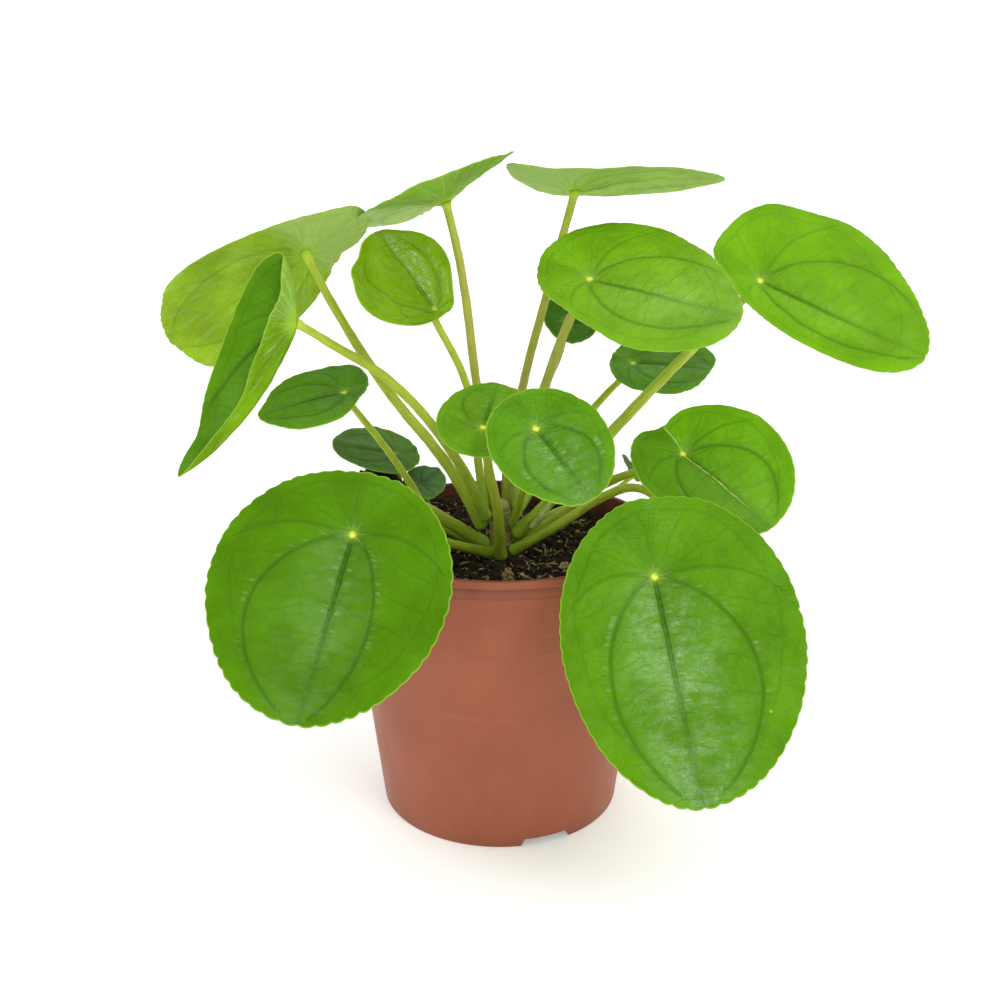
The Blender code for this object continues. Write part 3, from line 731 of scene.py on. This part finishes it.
def leaf_sheen(n):
    """Feeds the sheen, strongest between the inner veins, and gives the roughness."""
    streak = n.noise(n.vector(n.x, n.y * 0.35), 3.2, 3.0)
    panel = n.ramp(n.across, 1.0, 22.0, 1.0, 0.15) * n.ramp(n.x, -8.0, 8.0, 0.3, 1.0)
    panel = panel * n.ramp(n.inner, -6.0, 4.0, 1.0, 0.4)
    shine = panel * n.ramp(streak + n.cloud, 0.8, 1.2, 0.1, 1.0)
    shine = shine * n.ramp(n.side, 0.3, 0.7, 0.0, n.look.shine)
    n.feed(n.shader.inputs["Specular IOR Level"], shine + 0.06)
    return n.cloud * 0.18 + (n.look.rough - 0.09) + n.ramp(n.side, 0.3, 0.7, 0.2, 0.0)


def leaf_material(name, look, reach):
    n = LeafNodes(name, look, reach)
    veins, ray = vein_lines(n)
    colour = n.mix(n.ramp(n.side, 0.3, 0.7), leaf_under(n, veins), leaf_top(n, veins, ray))
    colour = n.mix(n.ramp(n.edge, 0.05, 0.42, 1.0, 0.0) * 0.75, colour, MARGIN)
    leaf_wrinkles(n, veins)
    return n.finish(colour, leaf_sheen(n))


# ---------------------------------------------------------------- stalks

STALK_SIDES = 20
FOOT_ROUND = ((0.62, 0.3), (0.55, 0.55), (0.38, 0.8), (0.18, 0.95))  # how a foot rounds off
BROWNISH = {"top_left", "top_right", "upper_right", "behind_centre"}


def stalk_material(name, brown, length):
    n = Nodes(name, 0.38, 0.25)
    along, turn, _ = n.parts("stalk_place")
    green, base = (0.38, 0.47, 0.035), (0.26, 0.38, 0.03)
    if brown:
        green, base = (0.38, 0.39, 0.055), (0.30, 0.38, 0.04)
    long_streaks = n.noise(n.vector(along * 0.12, turn), 0.8, 3.0)
    mottle = n.noise(n.vector(along, turn), 5.0, 3.0)
    share = along / length
    colour = n.mix(n.ramp(share, 0.0, 0.35), base, green)
    colour = n.mix(n.ramp(share, 0.8, 1.0), colour, (0.42, 0.50, 0.05))
    colour = n.mix(n.ramp(long_streaks, 0.4, 0.7) * 0.45, colour, times(green, 1.45))
    colour = n.mix(n.ramp(mottle, 0.5, 0.75) * 0.3, colour, (0.20, 0.18, 0.03))
    colour = n.mix(n.ramp(along, length - 3.0, length, 0.0, 0.8), colour, (0.50, 0.66, 0.05))
    n.bump(long_streaks * 0.8 + mottle * 0.5, 0.25, 0.6)
    return n.finish(colour, n.ramp(mottle, 0.2, 0.8, 0.3, 0.48))


def stalk(name, node, brown, girth, seat=None):
    """A stalk with a thick foot that runs into the stem, and a head that ends inside its blade.

    The seat is the blade's middle and its upward direction; a stalk with no blade has none.
    """
    centres, radii = stalk_line(node)
    line = smooth_line(centres, 4)
    thick = np.interp(np.linspace(0, 1, len(line)), np.linspace(0, 1, len(radii)), radii)
    steps = np.linalg.norm(np.diff(line, axis=0), axis=1)
    along = np.concatenate([[0], np.cumsum(steps)])
    length = along[-1]
    thick = girth * thick * (1 + 0.22 * np.exp(-along / 6))
    if seat:
        thick = thick * (1 + 0.25 * np.exp(-(length - along) / 1.2))
    back = np.array(FOOT_ROUND)[:, :1] * thick[0]
    feet = line[0] - unit(line[1] - line[0]) * back
    ahead = unit(line[-1] - line[-2])
    line = np.concatenate([feet, line, [line[-1] + ahead * 0.5]])
    end_radius = thick[-1] * (1.1 if seat else 0.55)
    foot_radii = np.array(FOOT_ROUND)[:, 1] * thick[0]
    thick = np.concatenate([foot_radii, thick, [end_radius]])
    along = np.concatenate([-back[:, 0], along, [length + 0.5]])
    points = tube_points(line, thick, STALK_SIDES, rough=0.10, seed=len(name))
    if seat:
        middle, up = seat
        last = np.r_[-2 - STALK_SIDES:-2, -1]
        short = (middle - up * 0.1 - points[last]) @ up / max(ahead @ up, 0.35)
        points[last] += np.clip(short, -2, 3)[:, None] * ahead
    faces = tube_faces(len(line), STALK_SIDES)
    piece = mesh_piece(name, points, faces, stalk_material(name, brown, length))
    turn = np.tile(np.arange(STALK_SIDES) / STALK_SIDES * TAU, len(line))
    turn = np.minimum(turn, TAU - turn) * 2.0
    where = np.stack([np.repeat(along, STALK_SIDES), turn, turn * 0], axis=1)
    ends = [[along[0], 0, 0], [along[-1], 0, 0]]
    attribute(piece, "stalk_place", np.concatenate([where, ends]))
    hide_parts(node)


def leaves():
    for number, (name, look) in enumerate(LOOKS.items()):
        node = f"leaf_stalk_{name}"
        rows, up = blade_rings(name, look.heading, stalk_line(node)[0][-1])
        blade(name, look, rows, up, 3.7 * number)
        brown = name in BROWNISH
        stalk(f"stalk_{name}", node, brown,
              look.girth, (rows[0, 0], up))


# ---------------------------------------------------------------- pot

POT_SIDES = 240
SECTION_STEP = 4.0        # the most between two points of the section
LIP_DEPTH = 2.8
FINE_LINE = 105.5         # level of the fine line pressed round the pot below its lip
SHOULDER = 82.8           # level of the step in the wall, and its radius and depth
SHOULDER_RADIUS = 57.0
STEP = 0.7
WALL = 1.3
LINE_AT_ZERO = 46.1       # a line inside the wall: its radius at level 0, and how that grows
LINE_SLOPE = 0.128
FLOOR = 5.0               # the raised floor's upper side
FLOOR_THICKNESS = 1.6
FOOT_RING = 2.6
PAD_RADIUS = 14.0
NOTCHES = (-68, 52, 172)  # headings of the three notches in the foot
NOTCH_SIZE = (12.0, 20.0, 6.4)
DRAIN_HOLES = 6
DRAIN_RADIUS = 3.5
DRAIN_REACH = 9           # how far up and down a drain's cutter reaches
DRAIN_SIDES = 32
DRAIN_CIRCLE = 29.0
FIRST_DRAIN = 20


def pot_sizes():
    """Height, rim radius and foot radius of the CAD pot."""
    points, _ = welded("pot")
    reach = np.hypot(points[:, 0], points[:, 1])
    return points[:, 2].max(), reach.max(), reach[points[:, 2] < 0.1].max() + 0.4


def wall_radius(level, height, rim, foot):
    if level < SHOULDER:
        return foot + (SHOULDER_RADIUS - foot) * level / SHOULDER
    low = SHOULDER_RADIUS + STEP
    return low + (rim - 0.5 - low) * (level - SHOULDER) / (height - SHOULDER)


def pot_profile(height, rim, foot):
    """Corner points of the pot's section, and how far each is rounded, from the floor up and over."""
    def wall(level):
        return wall_radius(level, height, rim, foot)

    lip = height - LIP_DEPTH
    inner = rim - WALL - 0.6
    under = FLOOR - FLOOR_THICKNESS
    ring = foot - FOOT_RING
    return (
        ((wall(FLOOR) - WALL, FLOOR), 2.0),
        ((wall(SHOULDER - 2) - WALL, SHOULDER - 2), 1.0),
        ((SHOULDER_RADIUS + STEP - WALL, SHOULDER + 1), 1.0),
        ((inner, height), 0.45),
        ((rim, height), 0.7),
        ((rim, lip), 0.35),
        ((wall(lip), lip - 0.2), 0.3),
        ((wall(FINE_LINE), FINE_LINE + 0.5), 0.1),
        ((wall(FINE_LINE) - 0.14, FINE_LINE), 0.15),
        ((wall(FINE_LINE), FINE_LINE - 0.5), 0.1),
        ((SHOULDER_RADIUS + STEP, SHOULDER + 0.3), 0.35),
        ((SHOULDER_RADIUS, SHOULDER - 0.3), 0.25),
        ((foot + 0.1, 0), 0.7),
        ((ring, 0), 0.3),
        ((ring - 0.3, under), 0.6),
        ((PAD_RADIUS + 0.8, under), 0.4),
        ((PAD_RADIUS, 0), 0.4),
    )


def rounded(profile):
    """The section with each corner turned into a short arc."""
    corners = [np.array(corner, float) for corner, _ in profile]
    ends = [np.array((0, profile[0][0][1]), float), np.array((0, 0), float)]
    line = [ends[0]]
    around_corner = [ends[0]] + corners + [ends[1]]
    for i, (_, radius) in enumerate(profile):
        before, corner, after = around_corner[i:i + 3]
        back = unit(before - corner) * min(radius, np.linalg.norm(before - corner) / 2.1)
        on = unit(after - corner) * min(radius, np.linalg.norm(after - corner) / 2.1)
        for t in np.linspace(0, 1, 5):
            line.append(corner + back * (1 - t) ** 2 + on * t ** 2)
    line.append(ends[1])
    return np.array(line)


def filled_in(line, longest):
    """The line with more points wherever two are further apart than `longest`."""
    dense = [line[0]]
    for start, end in zip(line, line[1:]):
        count = max(1, math.ceil(np.linalg.norm(end - start) / longest))
        dense += [start + (end - start) * step / count for step in range(1, count + 1)]
    return np.array(dense)


def lathe(section, sides):
    """Points and faces of a section turned about Z. Its first and last points lie on the axis."""
    turn = np.arange(sides) / sides * TAU
    rows = [np.stack([radius * np.cos(turn), radius * np.sin(turn), np.full(sides, level)], axis=1)
            for radius, level in section[1:-1]]
    points = np.concatenate(rows + [[[0, 0, section[0][1]], [0, 0, section[-1][1]]]])
    return points, tube_faces(len(rows), sides)


BOX_FACES = [(0, 1, 3, 2), (4, 6, 7, 5), (0, 4, 5, 1), (2, 3, 7, 6), (0, 2, 6, 4), (1, 5, 7, 3)]


def notch_cutter(heading, foot):
    signs = np.array([(a, b, c) for a in (-1, 1) for b in (-1, 1) for c in (-1, 1)])
    corners = signs * np.array(NOTCH_SIZE) / 2
    turn = math.radians(heading)
    ahead = np.array((math.cos(turn), math.sin(turn), 0))
    across = np.array((-math.sin(turn), math.cos(turn), 0))
    points = [ahead * (x + foot - 1) + across * y * (1 - 0.04 * z) + np.array((0, 0, z))
              for x, y, z in corners]
    return linked("notch", mesh_of("notch", points, BOX_FACES))


def drain_cutter(number):
    turn = math.radians(FIRST_DRAIN + 360 * number / DRAIN_HOLES)
    up, down = DRAIN_REACH, -DRAIN_REACH
    section = [(0, up), (DRAIN_RADIUS, up), (DRAIN_RADIUS, down), (0, down)]
    points, faces = lathe(section, DRAIN_SIDES)
    points = points + np.array((math.cos(turn), math.sin(turn), 0)) * DRAIN_CIRCLE
    return linked("drain", mesh_of("drain", points, faces))


def cut_away(piece, cutters):
    """Cuts bodies out of a piece and removes them."""
    for body in cutters:
        modifier = piece.modifiers.new(body.name, "BOOLEAN")
        modifier.operation = "DIFFERENCE"
        modifier.solver = "EXACT"
        modifier.object = body
    graph = bpy.context.evaluated_depsgraph_get()
    piece.data = bpy.data.meshes.new_from_object(piece.evaluated_get(graph))
    piece.modifiers.clear()
    for body in cutters:
        bpy.data.objects.remove(body)


def plastic():
    n = Nodes("pot_plastic", 0.5, 0.3)
    place = n.place()
    x, y, z = n.split(place)
    wall = z * LINE_SLOPE + LINE_AT_ZERO
    inside = n.ramp(n.distance(x, y) - wall, -0.9, -0.5, 1.0, 0.0)
    clouds = n.noise(place, 38.0, 3.0)
    streaks = n.noise(n.vector(x, y, z * 0.25), 5.0, 3.0)
    grain = n.noise(place, 0.35, 2.0)
    colour = n.mix(n.ramp(clouds, 0.3, 0.7), (0.30, 0.079, 0.035), (0.345, 0.094, 0.044))
    colour = n.mix(n.ramp(streaks, 0.4, 0.75) * 0.15, colour, (0.44, 0.15, 0.08))
    scuffs = n.ramp(n.noise(n.vector(x, y, z * 6.0), 22.0, 5.0, 0.7), 0.60, 0.68)
    colour = n.mix(scuffs * 0.10, colour, (0.50, 0.24, 0.15))
    # painted shade: the inner wall is painted dark where it lies in shade
    colour = n.mix(inside * 0.75, colour, (0.10, 0.028, 0.020))
    dust = n.ramp(z + n.noise(place, 5.0, 4.0) * 16.0, 110.0, 116.0, 1.0, 0.0) * inside * 0.75
    colour = n.mix(dust, colour, (0.035, 0.018, 0.012))
    # darker towards the bottom of the pot
    darker_at_foot = n.ramp(z + clouds * 6.0, 3.0, 9.0, 0.22, 0.0)
    colour = n.mix(darker_at_foot, colour, (0.16, 0.07, 0.045))
    n.bump(grain * 0.5 + streaks * 0.5, 0.12, 0.35)
    return n.finish(colour, n.ramp(streaks, 0.3, 0.7, 0.40, 0.52))


def pot(height, rim, foot):
    section = filled_in(rounded(pot_profile(height, rim, foot)), SECTION_STEP)
    points, faces = lathe(section, POT_SIDES)
    piece = mesh_piece("pot_body", points, faces, plastic())
    cutters = [notch_cutter(heading, foot) for heading in NOTCHES]
    cutters += [drain_cutter(number) for number in range(DRAIN_HOLES)]
    cut_away(piece, cutters)
    piece.data.set_sharp_from_angle(angle=math.radians(35))
    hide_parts("pot")


# ---------------------------------------------------------------- soil

SOIL_SIDES = 260
SOIL_ROWS = 56            # of points on its top
LINING = ((70, 53.1), (30, 48.1))  # levels and radii that it fills the pot to
SOIL_GRAIN = 3.1
CRUMBS = 2400
FIBRES = 1150
CHIPS = 420
CLOD_CRUMBS = 150
SOIL_SEED = 11
CLOD_FOOT = 104.0         # levels that the clod of peat against the rim reaches down and up to
CLOD_TOP = 126.5


def surface(node):
    """A tree for finding where rays meet a CAD node, in millimetres."""
    points, triangles = welded(node)
    return BVHTree.FromPolygons(points.tolist(), triangles.tolist())


def level_at(tree, x, y):
    """The highest level of a surface over a spot, or None beside it."""
    hit = tree.ray_cast(Vector((x, y, 200)), Vector((0, 0, -1)))[0]
    return hit.z if hit else None


def peat_bumps(x, y):
    here = Vector((x, y, 0))
    coarse = noise.noise(here / 5.5 + Vector((9, 0, 0)))
    medium = noise.noise(here / SOIL_GRAIN)
    fine = noise.noise(here / 1.4 + Vector((0, 7, 0)))
    return 1.2 * coarse + 1.3 * medium + 0.8 * fine


def soil_material(name="soil"):
    n = Nodes(name, 0.95, 0.25)
    place = n.place()
    clods = n.noise(place, 3.2, 4.0, 0.7)
    grain = n.noise(place, 0.8, 4.0, 0.75)
    fleck = n.cells(place, 1.3, "F1")
    colour = n.mix(n.ramp(clods, 0.35, 0.7), (0.004, 0.003, 0.002), (0.022, 0.012, 0.007))
    colour = n.mix(n.ramp(grain, 0.5, 0.75) * 0.6, colour, (0.085, 0.050, 0.026))
    pale = n.ramp(fleck, 0.05, 0.16, 1.0, 0.0) * n.ramp(clods, 0.5, 0.62)
    colour = n.mix(pale * 0.8, colour, (0.30, 0.20, 0.10))
    n.bump(clods + grain, 0.9, 0.9)
    return n.finish(colour)


def soil():
    tree = surface("potting_soil")
    points, _ = welded("potting_soil")
    reach = np.hypot(points[:, 0], points[:, 1])
    rim = reach[points[:, 2] > 90].max()
    floor = points[:, 2].min()
    turn = np.arange(SOIL_SIDES) / SOIL_SIDES * TAU
    rows = []
    for row in range(1, SOIL_ROWS + 1):
        radius = (rim + 0.35) * row / SOIL_ROWS
        ring = []
        for angle in turn:
            x, y = radius * math.cos(angle), radius * math.sin(angle)
            inner = min(1.0, (rim - 0.8) / radius)
            level = level_at(tree, x * inner, y * inner) or 98.0
            ring.append((x, y, max(level, 92) + peat_bumps(x, y)))
        rows.append(ring)
    edge = reach[np.abs(points[:, 2] - floor) < 0.1].max()
    for level, radius in (*LINING, (floor, edge)):
        rows.append([(radius * math.cos(a), radius * math.sin(a), level) for a in turn])
    ends = [(0, 0, 99.0), (0, 0, floor)]
    points = np.concatenate([np.array(rows).reshape(-1, 3), ends])
    faces = [face[::-1] for face in tube_faces(len(rows), SOIL_SIDES)]
    piece = mesh_piece("soil", points, faces, soil_material())
    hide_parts("potting_soil")
    return tree, rim


def rock(subdivisions):
    """Points and faces of a unit ball."""
    bm = bmesh.new()
    bmesh.ops.create_icosphere(bm, subdivisions=subdivisions, radius=1.0)
    points = np.array([vert.co[:] for vert in bm.verts])
    faces = [tuple(vert.index for vert in face.verts) for face in bm.faces]
    bm.free()
    return points, faces


def spun(points, rng):
    turn = Matrix.Rotation(rng.uniform(0, TAU), 3, Vector((rng.gauss(0, 1), rng.gauss(0, 1), 1)))
    return points @ np.array(turn)


def free_spot(rng, rim, tree):
    """A random place on the soil, clear of the stem."""
    while True:
        radius = rim * math.sqrt(rng.random()) * 0.985
        angle = rng.uniform(0, TAU)
        x, y = radius * math.cos(angle), radius * math.sin(angle)
        level = level_at(tree, x, y)
        if level is not None and level > 92:
            return x, y, level + peat_bumps(x, y)


def crumb_material(name, dark, light):
    n = Nodes(name, 0.92, 0.3)
    grain = n.noise(n.place(), 0.7, 3.0, 0.7)
    colour = n.mix(n.number("tint"), dark, light)
    colour = n.mix(n.ramp(grain, 0.45, 0.75) * 0.6, colour, times(light, 1.6))
    n.bump(grain, 0.5, 0.8)
    return n.finish(colour)


def scattered(name, parts, material):
    """One piece made of many small bodies, each given as points, faces and a tint."""
    points, faces, tints, start = [], [], [], 0
    for body, body_faces, tint in parts:
        points.append(body)
        faces += [tuple(start + index for index in face) for face in body_faces]
        tints.append(np.full(len(body), tint))
        start += len(body)
    piece = mesh_piece(name, np.concatenate(points), faces, material, smooth=False)
    attribute(piece, "tint", np.concatenate(tints))
    return piece


def crumb(rng, ball, place, size):
    points, faces = ball
    push = np.array([1 + 0.45 * noise.noise(Vector(point) * 1.6 + Vector((place[0], place[1], 0)))
                     for point in points])
    stretch = np.array((rng.uniform(0.7, 1.3), rng.uniform(0.6, 1.1), rng.uniform(0.5, 0.9)))
    return spun(points * push[:, None] * stretch * size, rng) + np.array(place), faces, rng.random()


def fibre(rng, place):
    """A thin bent root or sliver of bark lying on the soil."""
    heading = rng.uniform(0, TAU)
    length = rng.uniform(1.2, 5.5)
    bend = rng.uniform(-0.5, 0.5)
    lift = rng.uniform(-0.25, 0.35)
    radius = rng.uniform(0.14, 0.42)
    line = []
    for t in np.linspace(-0.5, 0.5, 5):
        angle = heading + bend * t * 2
        line.append((place[0] + length * t * math.cos(angle), place[1] + length * t * math.sin(angle),
                     place[2] + length * t * lift + 0.3 - 0.8 * t * t))
    radii = radius * np.array((0.35, 0.9, 1.0, 0.8, 0.3))
    points = tube_points(np.array(line), radii, 5, rough=0.5, seed=place[0])
    return points, tube_faces(5, 5), rng.random()


def litter(tree, rim):
    rng = random.Random(SOIL_SEED)
    ball = rock(1)
    crumbs = [crumb(rng, ball, free_spot(rng, rim - 1.5, tree), 0.5 + 1.9 * rng.random() ** 2.2)
              for _ in range(CRUMBS)]
    scattered("soil_crumbs", crumbs, crumb_material("crumbs", (0.004, 0.003, 0.002),
                                                    (0.040, 0.021, 0.011)))
    fibres = [fibre(rng, free_spot(rng, rim - 4, tree)) for _ in range(FIBRES)]
    scattered("soil_fibres", fibres, crumb_material("fibres", (0.03, 0.018, 0.008),
                                                    (0.58, 0.41, 0.16)))
    chips = [crumb(rng, ball, free_spot(rng, rim - 3, tree), 0.4 + 1.2 * rng.random() ** 2)
             for _ in range(CHIPS)]
    scattered("soil_chips", chips, crumb_material("chips", (0.04, 0.022, 0.010),
                                                  (0.60, 0.42, 0.19)))


def lump(name, node, detail, rough, size, material, heap=None):
    """A finer, rougher copy of a CAD lump: its rays from the middle give the shape.

    The heap gives levels that it is stretched between, and the radius it keeps to below the rim.
    """
    tree = surface(node)
    cad_points, _ = welded(node)
    low, high = cad_points[:, 2].min(), cad_points[:, 2].max()
    centre = Vector((cad_points.min(axis=0) + cad_points.max(axis=0)) / 2)
    points, faces = rock(detail)
    made = []
    for point in points:
        out = Vector(point)
        hit = tree.ray_cast(centre, out)[0]
        reach = (hit - centre).length if hit else 1.0
        here = centre + out * reach
        bumps = noise.noise(here / size) + 0.5 * noise.noise(here * 2.2 / size)
        here = here + out * rough * bumps
        made.append(heaped(here, low, high, *heap) if heap else here)
    piece = mesh_piece(name, np.array(made), faces, material)
    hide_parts(node)
    return piece


def heaped(point, low, high, foot, top, rim_level, reach):
    """The point with its height stretched, and moved in where it would run into the pot's wall."""
    level = foot + (point.z - low) / (high - low) * (top - foot)
    radius = math.hypot(point.x, point.y)
    squeeze = min(1.0, reach / radius) if level < rim_level else 1.0
    return Vector((point.x * squeeze, point.y * squeeze, level))


def fibrous(piece):
    """A tint for each vertex that changes quickly across the grain and slowly along it."""
    grain = np.array([noise.noise(Vector((co.x * 1.8, co.y * 1.8, co.z * 0.45)))
                      for co in (vertex.co / MM for vertex in piece.data.vertices)])
    return np.clip(0.5 + 1.3 * grain, 0, 1)


def loose_pieces(rim, rim_level):
    bark = crumb_material("bark", (0.13, 0.07, 0.03), (0.50, 0.35, 0.18))
    for number in (1, 2, 3):
        piece = lump(f"chip_{number}", f"bark_chip_{number}", 5, 0.8, 1.0, bark)
        attribute(piece, "tint", fibrous(piece))
    heap = (CLOD_FOOT, CLOD_TOP, rim_level + 0.4, rim - 2.2)
    lump("clod", "peat_clump", 6, 0.9, 2.6, soil_material("clod_peat"), heap)
    rng = random.Random(SOIL_SEED + 1)
    tree = surface("peat_clump")
    points, _ = welded("peat_clump")
    low, high = points.min(axis=0), points.max(axis=0)
    ball = rock(1)
    bits = []
    while len(bits) < CLOD_CRUMBS:
        x, y = rng.uniform(low[0], high[0]), rng.uniform(low[1], high[1])
        level = level_at(tree, x, y)
        if level is not None:
            spot = heaped(Vector((x, y, level + 0.2)), low[2], high[2], *heap)
            bits.append(crumb(rng, ball, spot, 0.35 + 0.9 * rng.random() ** 2))
    scattered("clod_crumbs", bits, crumb_material("clod_bits", (0.010, 0.006, 0.004),
                                                  (0.10, 0.055, 0.032)))


# ---------------------------------------------------------------- stem

STEM_SIDES = 64
STEM_ROWS = 90
SHEATH_SIDES = 20
SCAR_SPACING = 4.3


def stem_material(low, high):
    n = Nodes("stem_bark", 0.7)
    place = n.place()
    x, y, z = n.split(place)
    streaks = n.noise(n.vector(x, y, z * 0.3), 1.6, 3.0)
    wobble = n.noise(place, 4.0, 2.0)
    band = n.math("FRACT", (z + wobble * 5.0) / SCAR_SPACING)
    colour = n.mix(n.ramp(z, low, high), (0.25, 0.18, 0.08), (0.30, 0.27, 0.08))
    colour = n.mix(n.ramp(streaks, 0.4, 0.7) * 0.5, colour, (0.38, 0.30, 0.13))
    brown = n.ramp(band, 0.0, 0.35, 1.0, 0.0) * n.ramp(wobble, 0.4, 0.55, 0.3, 1.0)
    colour = n.mix(brown * 0.8, colour, (0.24, 0.10, 0.045))
    specks = n.cells(place, 1.1, "F1")
    colour = n.mix(n.ramp(specks, 0.05, 0.16, 0.5, 0.0), colour, (0.08, 0.04, 0.02))
    n.bump(streaks + band * 0.4, 0.5, 0.6)
    return n.finish(colour)


def stem():
    points, _ = welded("main_stem")
    low, high = points.min(axis=0), points.max(axis=0)
    axis = (low + high) / 2
    radius = (high - low)[0] / 2
    rows = []
    for level in np.linspace(low[2], high[2], STEM_ROWS):
        share = (level - low[2]) / (high[2] - low[2])
        ring = []
        for angle in np.arange(STEM_SIDES) / STEM_SIDES * TAU:
            out = Vector((math.cos(angle), math.sin(angle), 0))
            wobble = noise.noise(out * 1.3 + Vector((0, 0, level / 6)))
            scar = ((level + 2.2 * wobble) / SCAR_SPACING) % 1.0
            ridge = 0.45 * math.exp(-((scar - 0.15) / 0.12) ** 2)
            girth = (radius - 0.6) * (1 - 0.22 * share) + ridge + 0.5 * wobble
            girth *= math.sqrt(max(0.0, 1 - max(0.0, (share - 0.93) / 0.07) ** 2)) or 0.02
            ring.append((axis[0] + girth * out.x, axis[1] + girth * out.y, level))
        rows.append(ring)
    ends = [(axis[0], axis[1], low[2]), (axis[0], axis[1], high[2])]
    points = np.concatenate([np.array(rows).reshape(-1, 3), ends])
    piece = mesh_piece("stem", points, tube_faces(STEM_ROWS, STEM_SIDES),
                       stem_material(low[2] + 14, high[2]))
    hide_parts("main_stem")


def stipule_material():
    n = Nodes("stipule", 0.45)
    place = n.place()
    streaks = n.noise(place, 1.4, 3.0)
    clouds = n.noise(place, 5.0, 2.0)
    colour = n.mix(n.ramp(streaks, 0.35, 0.65), (0.32, 0.42, 0.10), (0.46, 0.54, 0.20))
    colour = n.mix(n.ramp(clouds, 0.5, 0.7) * 0.4, colour, (0.30, 0.26, 0.08))
    n.bump(streaks, 0.2, 0.6)
    return n.finish(colour)


def stipule():
    """The flattened, pointed sheath of a new leaf, drawn from the CAD one's slices."""
    points, _ = welded("stipule")
    start, end = points[np.argmin(points[:, 2])], points[np.argmax(points[:, 2])]
    ahead = unit(end - start)
    share = (points - start) @ ahead / np.linalg.norm(end - start)
    line, radii = [], []
    for step in np.linspace(0.08, 0.97, 5):
        weight = np.exp(-((share - step) / 0.09) ** 2)
        centre = (points * weight[:, None]).sum(axis=0) / weight.sum()
        away = np.linalg.norm(points - centre - ((points - centre) @ ahead)[:, None] * ahead, axis=1)
        line.append(centre)
        radii.append((away * weight).sum() / weight.sum())
    line = smooth_line(line, 6)
    radii = np.interp(np.linspace(0, 4, len(line)), np.arange(5), radii)
    radii[-1] = 0.15
    made = tube_points(line, radii, SHEATH_SIDES, rough=0.15)
    middle = np.concatenate([np.repeat(line, SHEATH_SIDES, axis=0), line[[0, -1]]])
    flat = unit(np.cross(ahead, (0, 0, 1)))
    off = (made - middle) @ flat
    made = made + (0.15 * off)[:, None] * flat
    faces = tube_faces(len(line), SHEATH_SIDES)
    piece = mesh_piece("sheath", made, faces, stipule_material())
    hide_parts("stipule")


# ---------------------------------------------------------------- floor, light and camera

def stage():
    white = Nodes("floor_white", 0.9, 0.0)
    bpy.ops.mesh.primitive_plane_add(size=60)
    floor = bpy.context.object
    floor.name = "floor"
    floor.data.materials.append(white.finish((0.95, 0.95, 0.95)))
    white.shader.inputs["Emission Color"].default_value = (1, 1, 1, 1)
    white.shader.inputs["Emission Strength"].default_value = 0.28


def sun(name, heading, height, spread, strength):
    """A soft far light, from a compass heading and a height above level, in degrees."""
    data = bpy.data.lights.new(name, "SUN")
    data.angle = math.radians(spread)
    data.energy = strength
    lamp = linked(name, data)
    turn, rise = math.radians(heading), math.radians(height)
    away = Vector((math.cos(turn) * math.cos(rise), math.sin(turn) * math.cos(rise), math.sin(rise)))
    lamp.rotation_euler = away.to_track_quat("Z", "Y").to_euler()


def studio():
    """A white room, dimmer overhead than at the horizon, with two soft lights."""
    world = bpy.data.worlds.new("studio")
    bpy.context.scene.world = world
    world.use_nodes = True
    tree = world.node_tree
    background = tree.nodes["Background"]
    where = tree.nodes.new("ShaderNodeTexCoord")
    split = tree.nodes.new("ShaderNodeSeparateXYZ")
    fade = tree.nodes.new("ShaderNodeMapRange")
    tree.links.new(where.outputs["Generated"], split.inputs[0])
    tree.links.new(split.outputs["Z"], fade.inputs["Value"])
    for key, value in (("From Min", 0.10), ("From Max", 0.35), ("To Min", 1.03), ("To Max", 0.86)):
        fade.inputs[key].default_value = value
    tree.links.new(fade.outputs["Result"], background.inputs["Strength"])
    background.inputs["Color"].default_value = (1, 1, 1, 1)
    sun("key", -50, 48, 25, 0.75)
    sun("top", 150, 72, 50, 0.35)
    view = bpy.context.scene.view_settings
    view.view_transform = "Standard"
    view.look = "None"


CAMERA_PLACE = (0, -0.4563, 0.2686)
CAMERA_DIP = 17.76        # degrees below level
CAMERA_LENS = 45.1


def camera():
    data = bpy.data.cameras.new("camera")
    data.lens = CAMERA_LENS
    data.sensor_width = 36
    data.clip_start = 0.01
    view = linked("camera", data)
    view.location = CAMERA_PLACE
    view.rotation_euler = (math.radians(90 - CAMERA_DIP), 0, 0)
    bpy.context.scene.camera = view


# ---------------------------------------------------------------- everything, in order

leaves()
stalk("stalk_bare", "bare_leaf_stalk", False, 0.9)
height, rim, foot = pot_sizes()
pot(height, rim, foot)
litter(*soil())
loose_pieces(rim, height)
stem()
stipule()
stage()
studio()
camera()
